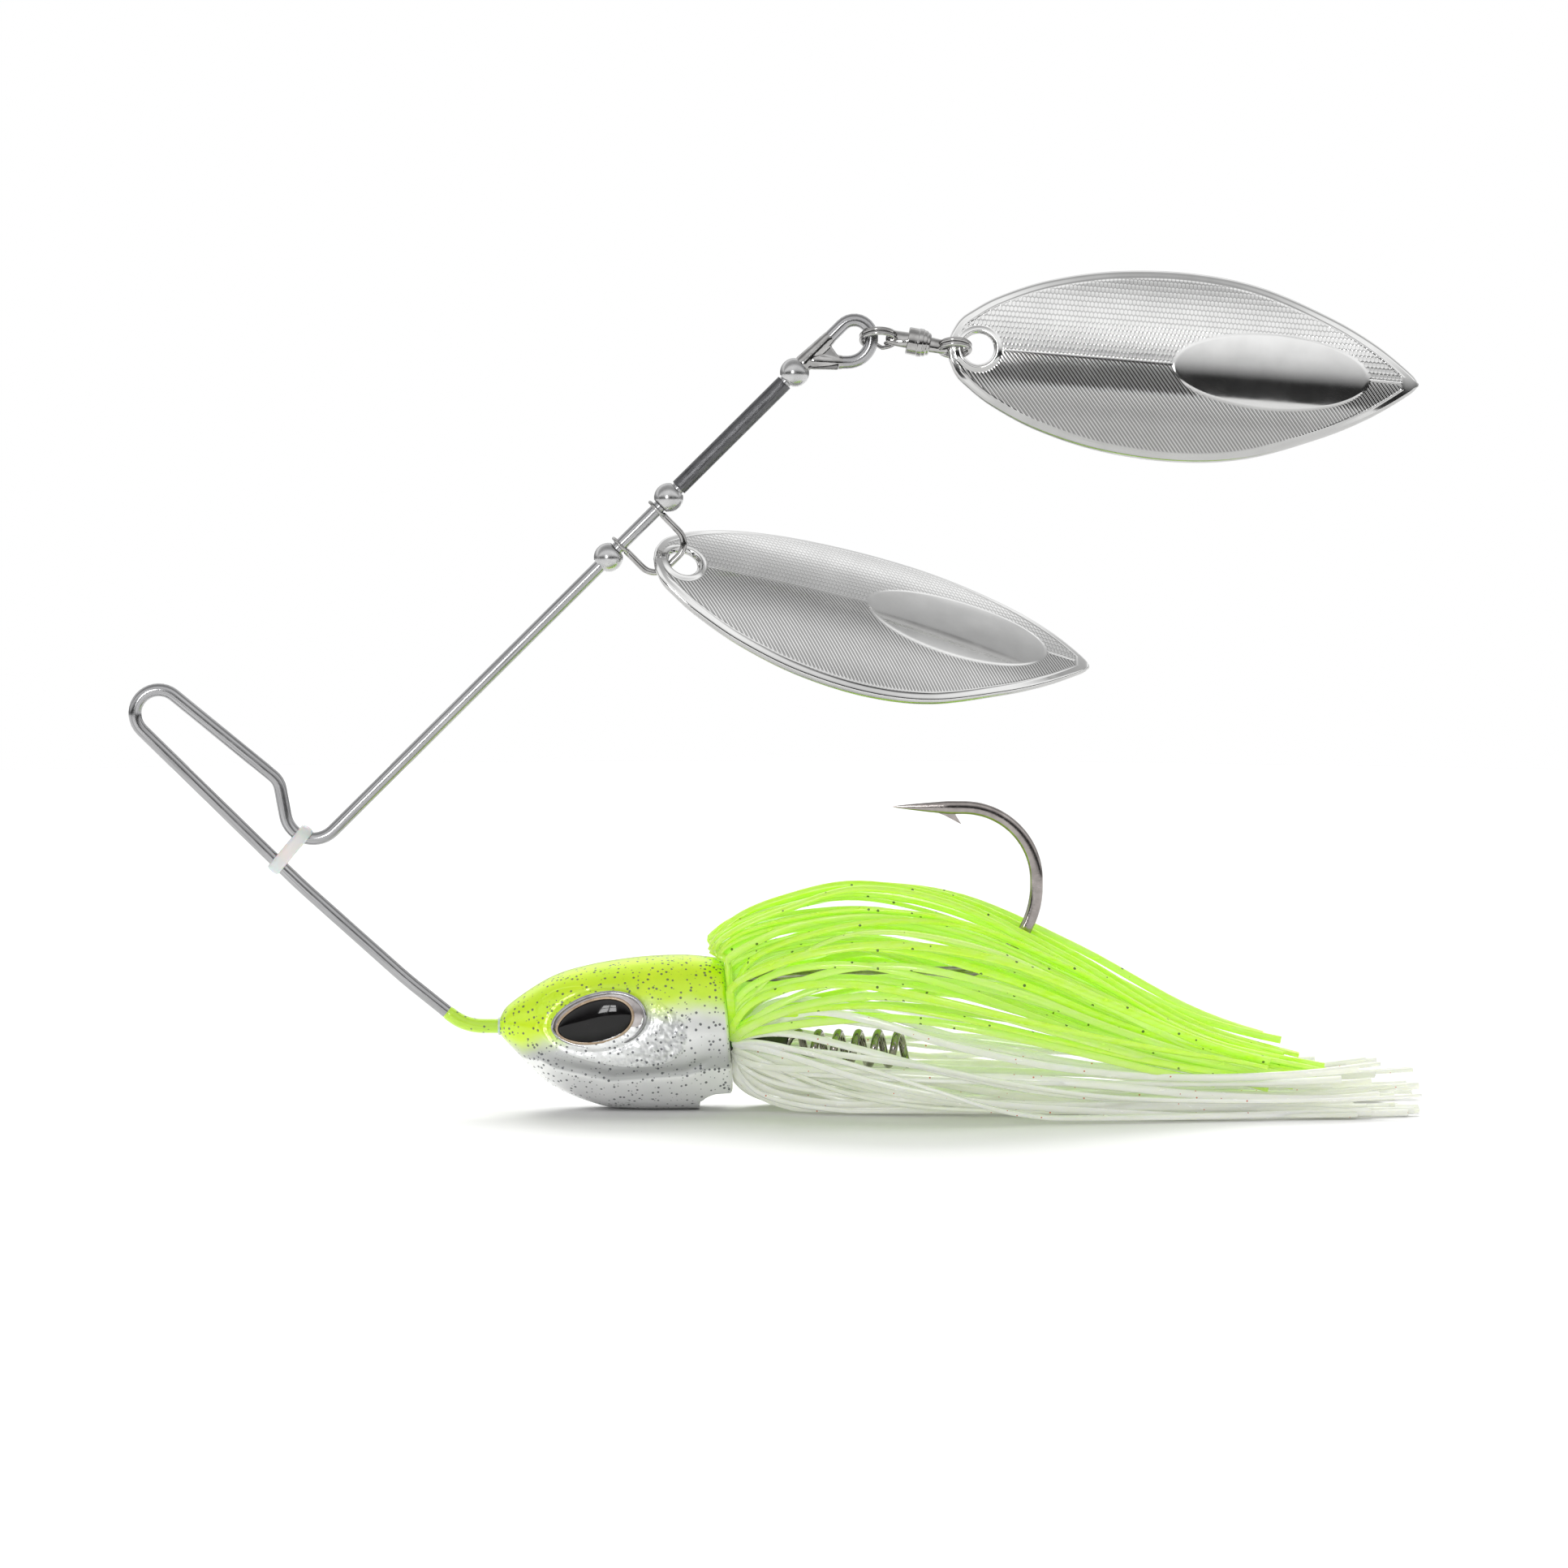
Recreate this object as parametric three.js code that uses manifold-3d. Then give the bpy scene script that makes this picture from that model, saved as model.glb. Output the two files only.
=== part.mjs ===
// Spinnerbait: a bent-wire fishing lure with a cast head, a hook, a rubber skirt and two
// willow-leaf blades. Millimetres, +Z up. The wire lies in the plane Y = 0, the origin is the
// centre of the line tie's front bend, and +X runs towards the tail of the lure.
import * as THREE from 'three';
import { mergeVertices } from 'three/addons/utils/BufferGeometryUtils.js';
import Module from 'manifold-3d';

const wasm = await Module();
wasm.setup();

// ---------------------------------------------------------------- driving dimensions
const FIT = 0.08;                  // gap between pieces pressed, cast or strung together
const SOFT_GAP = 0.3;              // gap round the soft skirt

const WIRE_D = 1.14;
const TIE_R = 2.1;                 // line tie's front bend, to the wire's centre
const UPPER_LEG_SLOPE = -39.4;     // degrees, leg above the line tie
const LOWER_LEG_SLOPE = -45.6;     // degrees, leg below it
const ARM_SLOPE = 44.8;            // degrees, the blade arm
const ARM_FOOT = [11.9, -13.66];   // corner where the blade arm starts
const END_LOOP_R = 1.5;

const HEAD_AXIS_Z = -27.6;         // where the wire enters the head
const HEAD_NOSE_X = 29.8;
const HEAD_REAR_X = 49.7;
const FLOOR_Z = -34.9;             // lowest line of head and skirt
const NECK = { x: 49, z: -29.0, r: 1.7, length: 5.4 };
const EYE = { x: 38.7, z: -26.6, halfLong: 4.35, halfHigh: 2.5, tilt: 10, turn: 9, thick: 0.5 };

const HOOK_D = 1.16;
const HOOK_EYE_X = 41;
const HOOK_TOP_Z = -8.3;           // the point's line
const HOOK_REAR_X = 77.1;
const KEEPER = { d: 0.7, r: 1.4, pitch: 1.75, turns: 5.5, x: 56.2, z: -29.6 };

const BEAD_D = 2.55;
const BEADS = { bead_low: 38.9, bead_mid: 46.35, bead_top: 61.9 };  // along the arm
const TUBE_OD = 1.46;
const CLEVIS = { d: 0.56, low: 40.4, high: 44.9, reach: 4.25, eyeletOd: 2.0, eyeletT: 0.3 };

const RING_TILT = -28;             // degrees, split rings and swivel eyes
const FRONT_RING = { d: 0.42, r: 1.53, x: 63.2, z: 32.95 };
const REAR_RING = { d: 0.4, r: 1.32 };
const RING_HANG = 0.1;             // the rear ring and blade hang this much below the piece before
const SWIVEL_SLOPE = -10.8;
const SWIVEL_EYES_APART = 3.85;
const BARREL = { r: 1.175, from: 1.0, to: 3.05, bore: 0.93 };
const BALL = { r: 0.2, orbit: 0.62, at: 1.53, count: 6 };

const BLADE = { length: 41.3, thick: 0.62, halfWidth: 8.35, dish: 2.7, bow: 0.9 };
const BLADE_HOLE = { x: 2.65, r: 1.35, rimR: 2.05, rimProud: 0.08 };
const REAR_BLADE = { down: 4.7, roll: 7.5, away: 0, reach: 0.78 };   // reach: hole past the ring's turn
const FRONT_BLADE = { down: 14.6, roll: 43.6, away: 15.5, holeAt: [46.05, 0, 13.2] };

// ---------------------------------------------------------------- looks
const STEEL = ['#a9abad', 0.22, 1];
const CHROME = ['#d9dadb', 0.12, 1];
const DARK = ['#2c2b2d', 0.3, 1];
const CHARTREUSE = ['#b6ea17', 0.35, 0];
const PEARL = ['#e6e9e2', 0.4, 0];

const rad = THREE.MathUtils.degToRad;
const V = (x, y, z) => new THREE.Vector3(x, y, z);
const Y_AXIS = V(0, 1, 0);
const model = new THREE.Group();

// ---------------------------------------------------------------- solids
function bare(geometry) {
  geometry.deleteAttribute('normal');
  geometry.deleteAttribute('uv');
  return mergeVertices(geometry, 1e-5);
}

function toManifold(geometry) {
  const g = bare(geometry.clone());
  return new wasm.Manifold(new wasm.Mesh({
    numProp: 3,
    vertProperties: new Float32Array(g.attributes.position.array),
    triVerts: new Uint32Array(g.index.array),
  }));
}

function fromManifold(solid) {
  const mesh = solid.getMesh();
  const g = new THREE.BufferGeometry();
  g.setAttribute('position', new THREE.BufferAttribute(mesh.vertProperties, 3));
  g.setIndex(new THREE.BufferAttribute(mesh.triVerts, 1));
  return g;
}

const join = (...geometries) => fromManifold(
  geometries.map(toManifold).reduce((a, b) => a.add(b)));
const cut = (body, ...tools) => fromManifold(
  tools.map(toManifold).reduce((a, b) => a.subtract(b), toManifold(body)));

function part(name, geometry, [color, roughness, metalness], parent = model) {
  const mesh = new THREE.Mesh(geometry, new THREE.MeshStandardMaterial({ color, roughness, metalness }));
  mesh.name = name;
  parent.add(mesh);
  return mesh;
}

// A closed skin over rings of points, all with the same count, with flat ends.
function loft(rings) {
  const sides = rings[0].length;
  const last = (rings.length - 1) * sides;
  const index = [];
  for (let i = 0; i < rings.length - 1; i++) {
    for (let k = 0; k < sides; k++) {
      const [a, b] = [i * sides + k, i * sides + ((k + 1) % sides)];
      index.push(a, b, a + sides, b, b + sides, a + sides);
    }
  }
  for (let [k, far] = [0, sides - 1]; far - k > 1; k++, far--) {
    index.push(k, far, k + 1, last + k, last + k + 1, last + far);
    if (far - k > 2) index.push(k + 1, far, far - 1, last + k + 1, last + far - 1, last + far);
  }
  const g = new THREE.BufferGeometry().setFromPoints(rings.flat());
  g.setIndex(index);
  return outward(g);
}

// Turns a closed surface right side out.
function outward(g) {
  const p = g.attributes.position;
  const corner = (i) => V(p.getX(i), p.getY(i), p.getZ(i));
  let volume = 0;
  for (let i = 0; i < g.index.count; i += 3) {
    const [a, b, c] = [0, 1, 2].map((k) => corner(g.index.getX(i + k)));
    volume += a.dot(b.cross(c));
  }
  if (volume < 0) g.setIndex(Array.from(g.index.array).reverse());
  return g;
}

// A round wire along points. diameter is a number, or a function of the point's number.
function wire(points, diameter, sides = 10) {
  const size = typeof diameter === 'function' ? diameter : () => diameter;
  let side = Y_AXIS;
  const rings = points.map((p, i) => {
    const into = p.clone().sub(points[Math.max(i - 1, 0)]).normalize();
    const out = points[Math.min(i + 1, points.length - 1)].clone().sub(p).normalize();
    const along = into.add(out).normalize();
    side = side.clone().addScaledVector(along, -side.dot(along)).normalize();
    const up = along.clone().cross(side);
    return Array.from({ length: sides }, (_, k) => p.clone()
      .addScaledVector(side, Math.cos((2 * Math.PI * k) / sides) * size(i) / 2)
      .addScaledVector(up, Math.sin((2 * Math.PI * k) / sides) * size(i) / 2));
  });
  return loft(rings);
}

// A solid of revolution about +X: profile points are [x, radius].
function latheX(profile, sides = 24) {
  const g = new THREE.LatheGeometry(profile.map(([x, r]) => new THREE.Vector2(r, x)), sides);
  return outward(bare(g.rotateZ(-Math.PI / 2)));
}

const tubeX = (x0, x1, inner, outer, sides) => latheX(
  [[x0, inner], [x0, outer], [x1, outer], [x1, inner], [x0, inner]], sides);
const rodX = (x0, x1, r, sides) => latheX([[x0, 0], [x0, r], [x1, r], [x1, 0]], sides);
const rodY = (x, z, r, length, sides = 24) => new THREE.CylinderGeometry(r, r, length, sides)
  .translate(x, 0, z);

// ---------------------------------------------------------------- bent wire
// Points along a wire bent in the plane Y = 0. corners are [x, z, bend radius].
function bent(corners, stepDegrees = 15) {
  const at = corners.map(([x, z]) => V(x, 0, z));
  const points = [at[0]];
  for (let i = 1; i < corners.length - 1; i++) {
    const back = at[i - 1].clone().sub(at[i]).normalize();
    const on = at[i + 1].clone().sub(at[i]).normalize();
    const half = back.angleTo(on) / 2;
    const r = corners[i][2];
    const centre = at[i].clone().addScaledVector(back.clone().add(on).normalize(), r / Math.sin(half));
    const spoke = at[i].clone().addScaledVector(back, r / Math.tan(half)).sub(centre);
    const turn = Math.PI - 2 * half;
    const steps = Math.max(1, Math.ceil(turn / rad(stepDegrees)));
    for (let k = 0; k <= steps; k++) {
      points.push(centre.clone().addScaledVector(spoke, Math.cos((turn * k) / steps))
        .addScaledVector(back, -r * Math.sin((turn * k) / steps)));
    }
  }
  points.push(at[at.length - 1]);
  return points;
}

const armDir = V(Math.cos(rad(ARM_SLOPE)), 0, Math.sin(rad(ARM_SLOPE)));
const armDown = V(armDir.z, 0, -armDir.x);       // square to the arm, down and to the rear
const onArm = (s, out = 0) => V(ARM_FOOT[0], 0, ARM_FOOT[1])
  .addScaledVector(armDir, s).addScaledVector(armDown, out);
// Lays a piece made round the X axis onto the blade arm.
const layOnArm = (g, s) => g.rotateY(-rad(ARM_SLOPE)).translate(...onArm(s).toArray());

function framePoints() {
  const legZ = (slope, side, x) => side * TIE_R / Math.cos(rad(slope)) + x * Math.tan(rad(slope));
  const kneeX = 10.5;
  const loopTop = onArm(71.4);
  return bent([
    [HOOK_EYE_X + 1.3, HEAD_AXIS_Z],
    [26.8, HEAD_AXIS_Z, 4.5],
    [21.6, -23.4, 40],
    [12.2, -14.94, 60],
    [-TIE_R, legZ(LOWER_LEG_SLOPE, -1, -TIE_R), TIE_R],
    [-TIE_R, legZ(UPPER_LEG_SLOPE, 1, -TIE_R), TIE_R],
    [kneeX, legZ(UPPER_LEG_SLOPE, 1, kneeX), 1.8],
    [...ARM_FOOT, 2.5],
    [loopTop.x, loopTop.z, END_LOOP_R],
    [loopTop.x, 30.85, 2.1],
    [58.7, 30.85],
  ]);
}

const frameSolid = (grow = 0) => wire(framePoints(), WIRE_D + 2 * grow);

// Tapered closure that fixes the loop's free end to the arm.
function loopFerrule() {
  const [a, b, c, d] = [onArm(63.4, -0.75), onArm(67.0, -0.72), onArm(63.4, 0.75), onArm(66.4, 0.4)];
  const shape = new THREE.Shape();
  shape.moveTo(a.x, a.z);
  shape.lineTo(b.x, b.z);
  shape.lineTo(d.x, d.z);
  shape.lineTo(59.2, 31.62);
  shape.lineTo(59.0, 30.08);
  shape.lineTo(57.9, 29.95);
  shape.lineTo(c.x, c.z);
  const depth = 1.1;
  const plate = new THREE.ExtrudeGeometry(shape, {
    depth, bevelEnabled: true, bevelThickness: 0.22, bevelSize: 0.12, bevelSegments: 1, curveSegments: 4,
  }).translate(0, 0, -depth / 2).rotateX(Math.PI / 2);
  return cut(plate, frameSolid(FIT));
}

// Silicone band round the knee and the lower arm.
function keeperBand() {
  const [half, r, wall, width] = [1.35, 0.72, 0.5, 1.1];
  const outline = (radius) => {
    const s = new THREE.Shape();
    s.absarc(half, 0, radius, -Math.PI / 2, Math.PI / 2);
    s.absarc(-half, 0, radius, Math.PI / 2, 1.5 * Math.PI);
    return s;
  };
  const shape = outline(r + wall);
  shape.holes.push(new THREE.Path(outline(r).getPoints(8)));
  // the long way of the band runs from the lower arm up to the knee
  const long = V(Math.cos(rad(50)), 0, Math.sin(rad(50)));
  const place = new THREE.Matrix4().makeBasis(long, Y_AXIS, long.clone().cross(Y_AXIS))
    .setPosition(11.5, 0, -11.95);
  const band = new THREE.ExtrudeGeometry(shape, { depth: width, bevelEnabled: false, curveSegments: 8 })
    .translate(0, 0, -width / 2).applyMatrix4(place);
  return cut(band, frameSolid(0.03));
}

// ---------------------------------------------------------------- head
const HEAD_TOP = [[29.8, -27.0], [30.8, -25.6], [34.3, -23.3], [37.7, -22.2], [42, -21.5], [46, -21.3],
  [48.9, -21.5]];
const HEAD_BOTTOM = [[29.8, -28.2], [30.8, -29.3], [34.3, -32.7], [38.6, -34.5], [42, FLOOR_Z],
  [46, FLOOR_Z], [50.2, FLOOR_Z]];
const HEAD_SIDE = [[29.8, 0.62], [30.8, 1.9], [34.3, 3.9], [38.6, 5.0], [42, 5.4], [46, 5.3], [50, 4.5]];

// Value of an outline, a list of [x, value], at x, on a smooth curve through its points.
function outlineAt(points, x) {
  const curve = new THREE.SplineCurve(points.map(([a, b]) => new THREE.Vector2(a, b)));
  let [low, high] = [0, 1];
  for (let i = 0; i < 30; i++) {
    const middle = (low + high) / 2;
    if (curve.getPoint(middle).x < x) low = middle;
    else high = middle;
  }
  return curve.getPoint(low).y;
}

// A ring of points on a rounded section: squareness 2 is an ellipse, more is boxier.
function section(x, top, bottom, halfWidth, squareness, sides = 24) {
  const [middle, halfHigh] = [(top + bottom) / 2, (top - bottom) / 2];
  const bulge = (v) => Math.sign(v) * Math.abs(v) ** (2 / squareness);
  return Array.from({ length: sides }, (_, k) => {
    const turn = (2 * Math.PI * (k + 0.5)) / sides;
    return V(x, halfWidth * bulge(Math.cos(turn)), middle + halfHigh * bulge(Math.sin(turn)));
  });
}

function headBody(grow = 0) {
  const rings = [];
  const steps = 14;
  for (let i = 0; i <= steps; i++) {
    const u = (i / steps) ** 1.5;
    const x = HEAD_NOSE_X + (HEAD_REAR_X - HEAD_NOSE_X) * u;
    const ring = section(x + grow * (i === steps), outlineAt(HEAD_TOP, x) + grow,
      outlineAt(HEAD_BOTTOM, x) - grow, outlineAt(HEAD_SIDE, x) + grow, 2.2);
    if (i === steps) ring.forEach((p) => { p.x += 0.07 * (HEAD_AXIS_Z - p.z); });
    rings.push(ring);
  }
  return loft(rings);
}

// Places a piece made round the Y axis at an eye: side is -1 for left (near), +1 for right.
function atEye(g, side) {
  const y = side * (outlineAt(HEAD_SIDE, EYE.x) - 0.25);
  return g.rotateY(-rad(EYE.tilt)).rotateZ(side * rad(EYE.turn)).translate(EYE.x, y, EYE.z);
}

// A low dome or plate with an elliptical outline, flat at y = 0, rising to -y or +y.
function eyeShape(scale, rise, side, profile) {
  const g = latheX(profile.map(([x, r]) => [x * rise, r]), 20);
  return g.rotateZ(side * Math.PI / 2).scale(EYE.halfLong * scale, 1, EYE.halfHigh * scale);
}

const PLATE = [[0, 0], [0, 1], [1, 1], [1, 0]];
const DOME = [[0, 0], [0, 1], [0.45, 0.9], [0.8, 0.62], [0.97, 0.3], [1, 0]];

function head() {
  const neck = rodX(NECK.x, NECK.x + NECK.length, NECK.r, 16).translate(0, 0, NECK.z);
  const notchRound = rodY(48.6, FLOOR_Z, 1.6, 14);
  const notchFlat = new THREE.BoxGeometry(6, 14, 3.2).translate(51.6, 0, FLOOR_Z);
  const sockets = [-1, 1].map((side) => atEye(
    eyeShape(1.03, 4, side, PLATE).translate(0, -side * (EYE.thick + FIT), 0), side));
  const solid = join(cut(headBody(), notchRound, notchFlat), neck);
  return cut(solid, frameSolid(FIT), hookSolid(FIT), keeperSolid(FIT), ...sockets);
}

function eye(side, name) {
  part(`eye_disc_${name}`, atEye(
    eyeShape(1, EYE.thick, side, PLATE).translate(0, -side * EYE.thick, 0), side), CHROME);
  part(`eye_dome_${name}`, atEye(
    eyeShape(0.9, 0.5, side, DOME).translate(0, side * FIT, 0), side), ['#101012', 0.05, 0]);
}

// ---------------------------------------------------------------- hook and trailer keeper
function hookSolid(grow = 0) {
  const points = bent([
    [HOOK_EYE_X, HEAD_AXIS_Z + 1.3],
    [HOOK_EYE_X, -23.2, 1.4],
    [HOOK_REAR_X, -22.8, 7.6],
    [HOOK_REAR_X, HOOK_TOP_Z, 6.4],
    [69, HOOK_TOP_Z + 0.02, 200],
    [64.4, HOOK_TOP_Z + 0.1],
  ], 12);
  const tip = points.length - 1;
  const size = (i) => (i === tip ? 0.1 : HOOK_D) + 2 * grow;
  const shank = wire(points, size, 10);
  const eyeRing = new THREE.TorusGeometry(1.3, HOOK_D / 2 + grow, 8, 20)
    .rotateY(Math.PI / 2).translate(HOOK_EYE_X, 0, HEAD_AXIS_Z);
  return join(shank, eyeRing, barb(grow));
}

// The barb is cut up from the underside of the point and leans back.
function barb(grow) {
  const points = [V(67.2, 0, HOOK_TOP_Z - 0.15), V(70.5, 0, HOOK_TOP_Z - 1.35)];
  return wire(points, (i) => (i ? 0.12 : 0.7) + 2 * grow, 8);
}

function keeperSolid(grow = 0) {
  const { r, pitch, turns, x, z } = KEEPER;
  const points = [V(NECK.x + 2.6, 0, z), V(x - 1.6, 0, z), V(x - 0.7, 0, z + 0.75 * r)];
  const steps = Math.round(turns * 12);
  for (let i = 0; i <= steps; i++) {
    const turn = (2 * Math.PI * turns * i) / steps;
    points.push(V(x + (pitch * turn) / (2 * Math.PI), r * Math.sin(turn), z + r * Math.cos(turn)));
  }
  return wire(points, KEEPER.d + 2 * grow, 6);
}

// ---------------------------------------------------------------- skirt
const SKIRT_TOP = [[50, -19.8], [56, -16], [61.5, -15.1], [68, -15.8], [76, -19.6], [86, -25.2],
  [96, -29.6], [105, -31.4]];
const SKIRT_PARTING = [[50, -26.6], [57, -25.1], [66, -26.2], [75, -28.3], [86, -31], [96, -32.5],
  [105, -33], [113.2, -32.6]];
const SKIRT_FLOOR = [[50, -31.4], [52.4, -34], [56, FLOOR_Z], [80, FLOOR_Z], [113.2, FLOOR_Z]];
const UPPER_SIDE = [[50, 4.5], [57, 7.5], [66, 9], [80, 9], [95, 6.6], [105, 4.5]];
const LOWER_SIDE = [[50, 3.4], [56, 7.2], [65, 9.4], [80, 10], [100, 9], [113.2, 7]];

function skirtHalf(from, to, top, topGap, bottom, bottomGap, side) {
  const steps = 14;
  const rings = Array.from({ length: steps + 1 }, (_, i) => {
    const x = from + (to - from) * (i / steps);
    return section(x, outlineAt(top, x) - topGap, outlineAt(bottom, x) + bottomGap,
      outlineAt(side, x), 2.6);
  });
  return loft(rings);
}

function skirt() {
  const [half, collarR] = [SOFT_GAP / 2, 3.0];
  const room = rodX(NECK.x - 2, 67.4, 2.25, 16).translate(0, 0, KEEPER.z);
  const neckRoom = rodX(NECK.x, NECK.x + NECK.length + SOFT_GAP, NECK.r + SOFT_GAP, 16)
    .translate(0, 0, NECK.z);
  const collarRoom = rodX(NECK.x - 2, 53.6, collarR + SOFT_GAP, 16).translate(0, 0, NECK.z);
  const upper = skirtHalf(50, 105, SKIRT_TOP, 0, SKIRT_PARTING, half, UPPER_SIDE);
  const lower = skirtHalf(50, 113.2, SKIRT_PARTING, half, SKIRT_FLOOR, 0, LOWER_SIDE);
  part('skirt_upper', cut(upper, headBody(SOFT_GAP), hookSolid(SOFT_GAP), collarRoom), CHARTREUSE);
  part('skirt_lower', cut(lower, headBody(SOFT_GAP), room, collarRoom, neckRoom), PEARL);
  const collar = tubeX(50.75, 53.2, NECK.r + FIT, collarR, 20).translate(0, 0, NECK.z);
  part('skirt_collar', cut(collar, headBody(FIT)), ['#39c21a', 0.4, 0]);
}

// ---------------------------------------------------------------- beads, tube, clevis
function bead(boreR) {
  const r = BEAD_D / 2;
  const edge = Math.acos(boreR / r);
  const profile = Array.from({ length: 9 }, (_, i) => {
    const turn = -edge + (2 * edge * i) / 8;
    return [r * Math.sin(turn), r * Math.cos(turn)];
  });
  return latheX([...profile, profile[0]], 16);
}

function stringArm() {
  for (const [name, s] of Object.entries(BEADS)) {
    const gap = name === 'bead_low' ? 0.05 : FIT;
    part(name, layOnArm(bead(WIRE_D / 2 + gap), s), CHROME);
  }
  const reach = BEAD_D / 2 - 0.03;
  const tube = tubeX(BEADS.bead_mid + reach, BEADS.bead_top - reach, WIRE_D / 2 + 0.04, TUBE_OD / 2, 20);
  part('spacer_tube', layOnArm(tube, 0), DARK);
}

function clevis() {
  const { d, low, high, reach, eyeletOd, eyeletT } = CLEVIS;
  const inner = eyeletOd / 2 - 0.2;
  const corners = [onArm(low, inner), onArm(low, reach), onArm(high, reach), onArm(high, inner)];
  const stirrup = wire(bent(corners.map((p) => [p.x, p.z, 1.1])), d, 8);
  const eyelets = [low, high].map((s) => layOnArm(
    tubeX(-eyeletT / 2, eyeletT / 2, WIRE_D / 2 + 0.1, eyeletOd / 2, 16), s));
  return join(stirrup, ...eyelets);
}

// ---------------------------------------------------------------- split rings and swivel
// Two flat turns of wire side by side, with a short crossover between them at the far side,
// where both ends stop. The ring's axis is Z, tilted about X.
function splitRing({ d, r }, centre) {
  const [steps, crossAt, endGap, crossHalf] = [40, Math.PI / 2, 0.42, 0.2];
  const points = Array.from({ length: steps + 1 }, (_, i) => {
    const turn = crossAt + endGap + ((4 * Math.PI - 2 * endGap) * i) / steps;
    const across = THREE.MathUtils.clamp((turn - crossAt - 2 * Math.PI) / crossHalf, -1, 1);
    return V(r * Math.cos(turn), r * Math.sin(turn), across * (d / 2 + 0.015));
  });
  return wire(points, d, 6).rotateX(rad(RING_TILT)).translate(...centre.toArray());
}

const frontEye = V(FRONT_RING.x + FRONT_RING.r, 0, FRONT_RING.z);
const swivelDir = V(Math.cos(rad(SWIVEL_SLOPE)), 0, Math.sin(rad(SWIVEL_SLOPE)));
const rearEye = frontEye.clone().addScaledVector(swivelDir, SWIVEL_EYES_APART);
const rearRingCentre = rearEye.clone().add(V(REAR_RING.r, 0, -RING_HANG));
const inSwivel = (g) => g.rotateX(rad(RING_TILT)).rotateY(-rad(SWIVEL_SLOPE))
  .translate(...frontEye.toArray());

// A flat eye with a round end and a cross hole, its stem running along +X.
function swivelEye(x, direction, stem, r, holeR, thick) {
  const shape = new THREE.Shape();
  const start = direction > 0 ? Math.PI / 2 : -Math.PI / 2;
  shape.absarc(x, 0, r, start, start + Math.PI);
  shape.lineTo(x + direction * stem, direction > 0 ? -r * 0.8 : r * 0.8);
  shape.lineTo(x + direction * stem, direction > 0 ? r * 0.8 : -r * 0.8);
  shape.holes.push(new THREE.Path(new THREE.Path().absarc(x, 0, holeR, 0, 2 * Math.PI, true).getPoints(8)));
  return new THREE.ExtrudeGeometry(shape, { depth: thick, bevelEnabled: false, curveSegments: 8 })
    .translate(0, 0, -thick / 2).rotateX(Math.PI / 2);
}

function swivel() {
  const flange = latheX([[0.7, 0], [0.7, 0.35], [1.82, 0.35], [1.82, 0.72], [2.2, 0.72], [2.2, 0]], 16);
  part('swivel_rotor', inSwivel(join(swivelEye(0, 1, 0.92, 0.75, 0.57, 0.9), flange)), STEEL);

  const { r, from, to, bore } = BARREL;
  const shell = latheX([[from, bore], [from, r], [to - 0.35, r], [to, 0.75], [to, 0.5], [3.4, 0.5],
    [3.4, 0], [2.4, 0], [2.4, bore], [from, bore]], 24);
  part('swivel_barrel', inSwivel(join(shell, swivelEye(
    SWIVEL_EYES_APART, -1, 0.72, 0.61, 0.5, 0.84))), STEEL);
  part('swivel_cap', inSwivel(tubeX(from + 0.02, 1.28, 0.45, bore - 0.05, 20)), STEEL);
  for (let i = 0; i < BALL.count; i++) {
    const ball = new THREE.SphereGeometry(BALL.r, 8, 6).translate(BALL.at, BALL.orbit, 0)
      .rotateX((2 * Math.PI * i) / BALL.count);
    part(`bearing_ball_${i + 1}`, inSwivel(ball), STEEL);
  }
}

// ---------------------------------------------------------------- blades
const BLADE_SIDE = [[0, 0.35], [0.3, 1.5], [0.83, 2.45], [1.7, 3.25], [4.1, 4.83], [8.3, 6.62],
  [14, 7.95], [20.6, 8.35], [26.8, 7.6], [33, 5.4], [37.2, 3.29], [40.4, 1.06], [41.3, 0.12]];

// A dished willow leaf. Its round end is at x = 0, its hollow side faces +Y.
function bladeSolid() {
  const { length, thick, halfWidth, dish, bow } = BLADE;
  const { x: holeX, r: holeR, rimR, rimProud } = BLADE_HOLE;
  const back = (x, z) => bow * (2 * x / length - 1) ** 2 + dish * (z / halfWidth) ** 2;
  const [along, across] = [16, 8];
  const rings = Array.from({ length: along + 1 }, (_, i) => {
    const x = length * (0.5 - 0.5 * Math.cos((Math.PI * i) / along));
    const half = outlineAt(BLADE_SIDE, x);
    const row = Array.from({ length: across + 1 }, (__, k) => half * (2 * k / across - 1));
    return [...row.map((z) => V(x, back(x, z), z)),
      ...row.reverse().map((z) => V(x, back(x, z) + thick, z))];
  });
  const holeY = back(holeX, 0) + thick / 2;
  const rim = rodY(holeX, 0, rimR, thick + 2 * rimProud).translate(0, holeY, 0);
  const hole = rodY(holeX, 0, holeR, 6 * thick).translate(0, holeY, 0);
  return cut(join(loft(rings), rim), hole).translate(-holeX, -holeY, 0);
}

// Sets a blade by the centre of its hole. down, roll and away are degrees.
function blade(name, holeCentre, { down, roll, away }) {
  const mesh = part(name, bladeSolid(), CHROME);
  mesh.position.copy(holeCentre);
  mesh.rotation.set(-rad(roll), rad(down), rad(away), 'ZYX');
}

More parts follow.
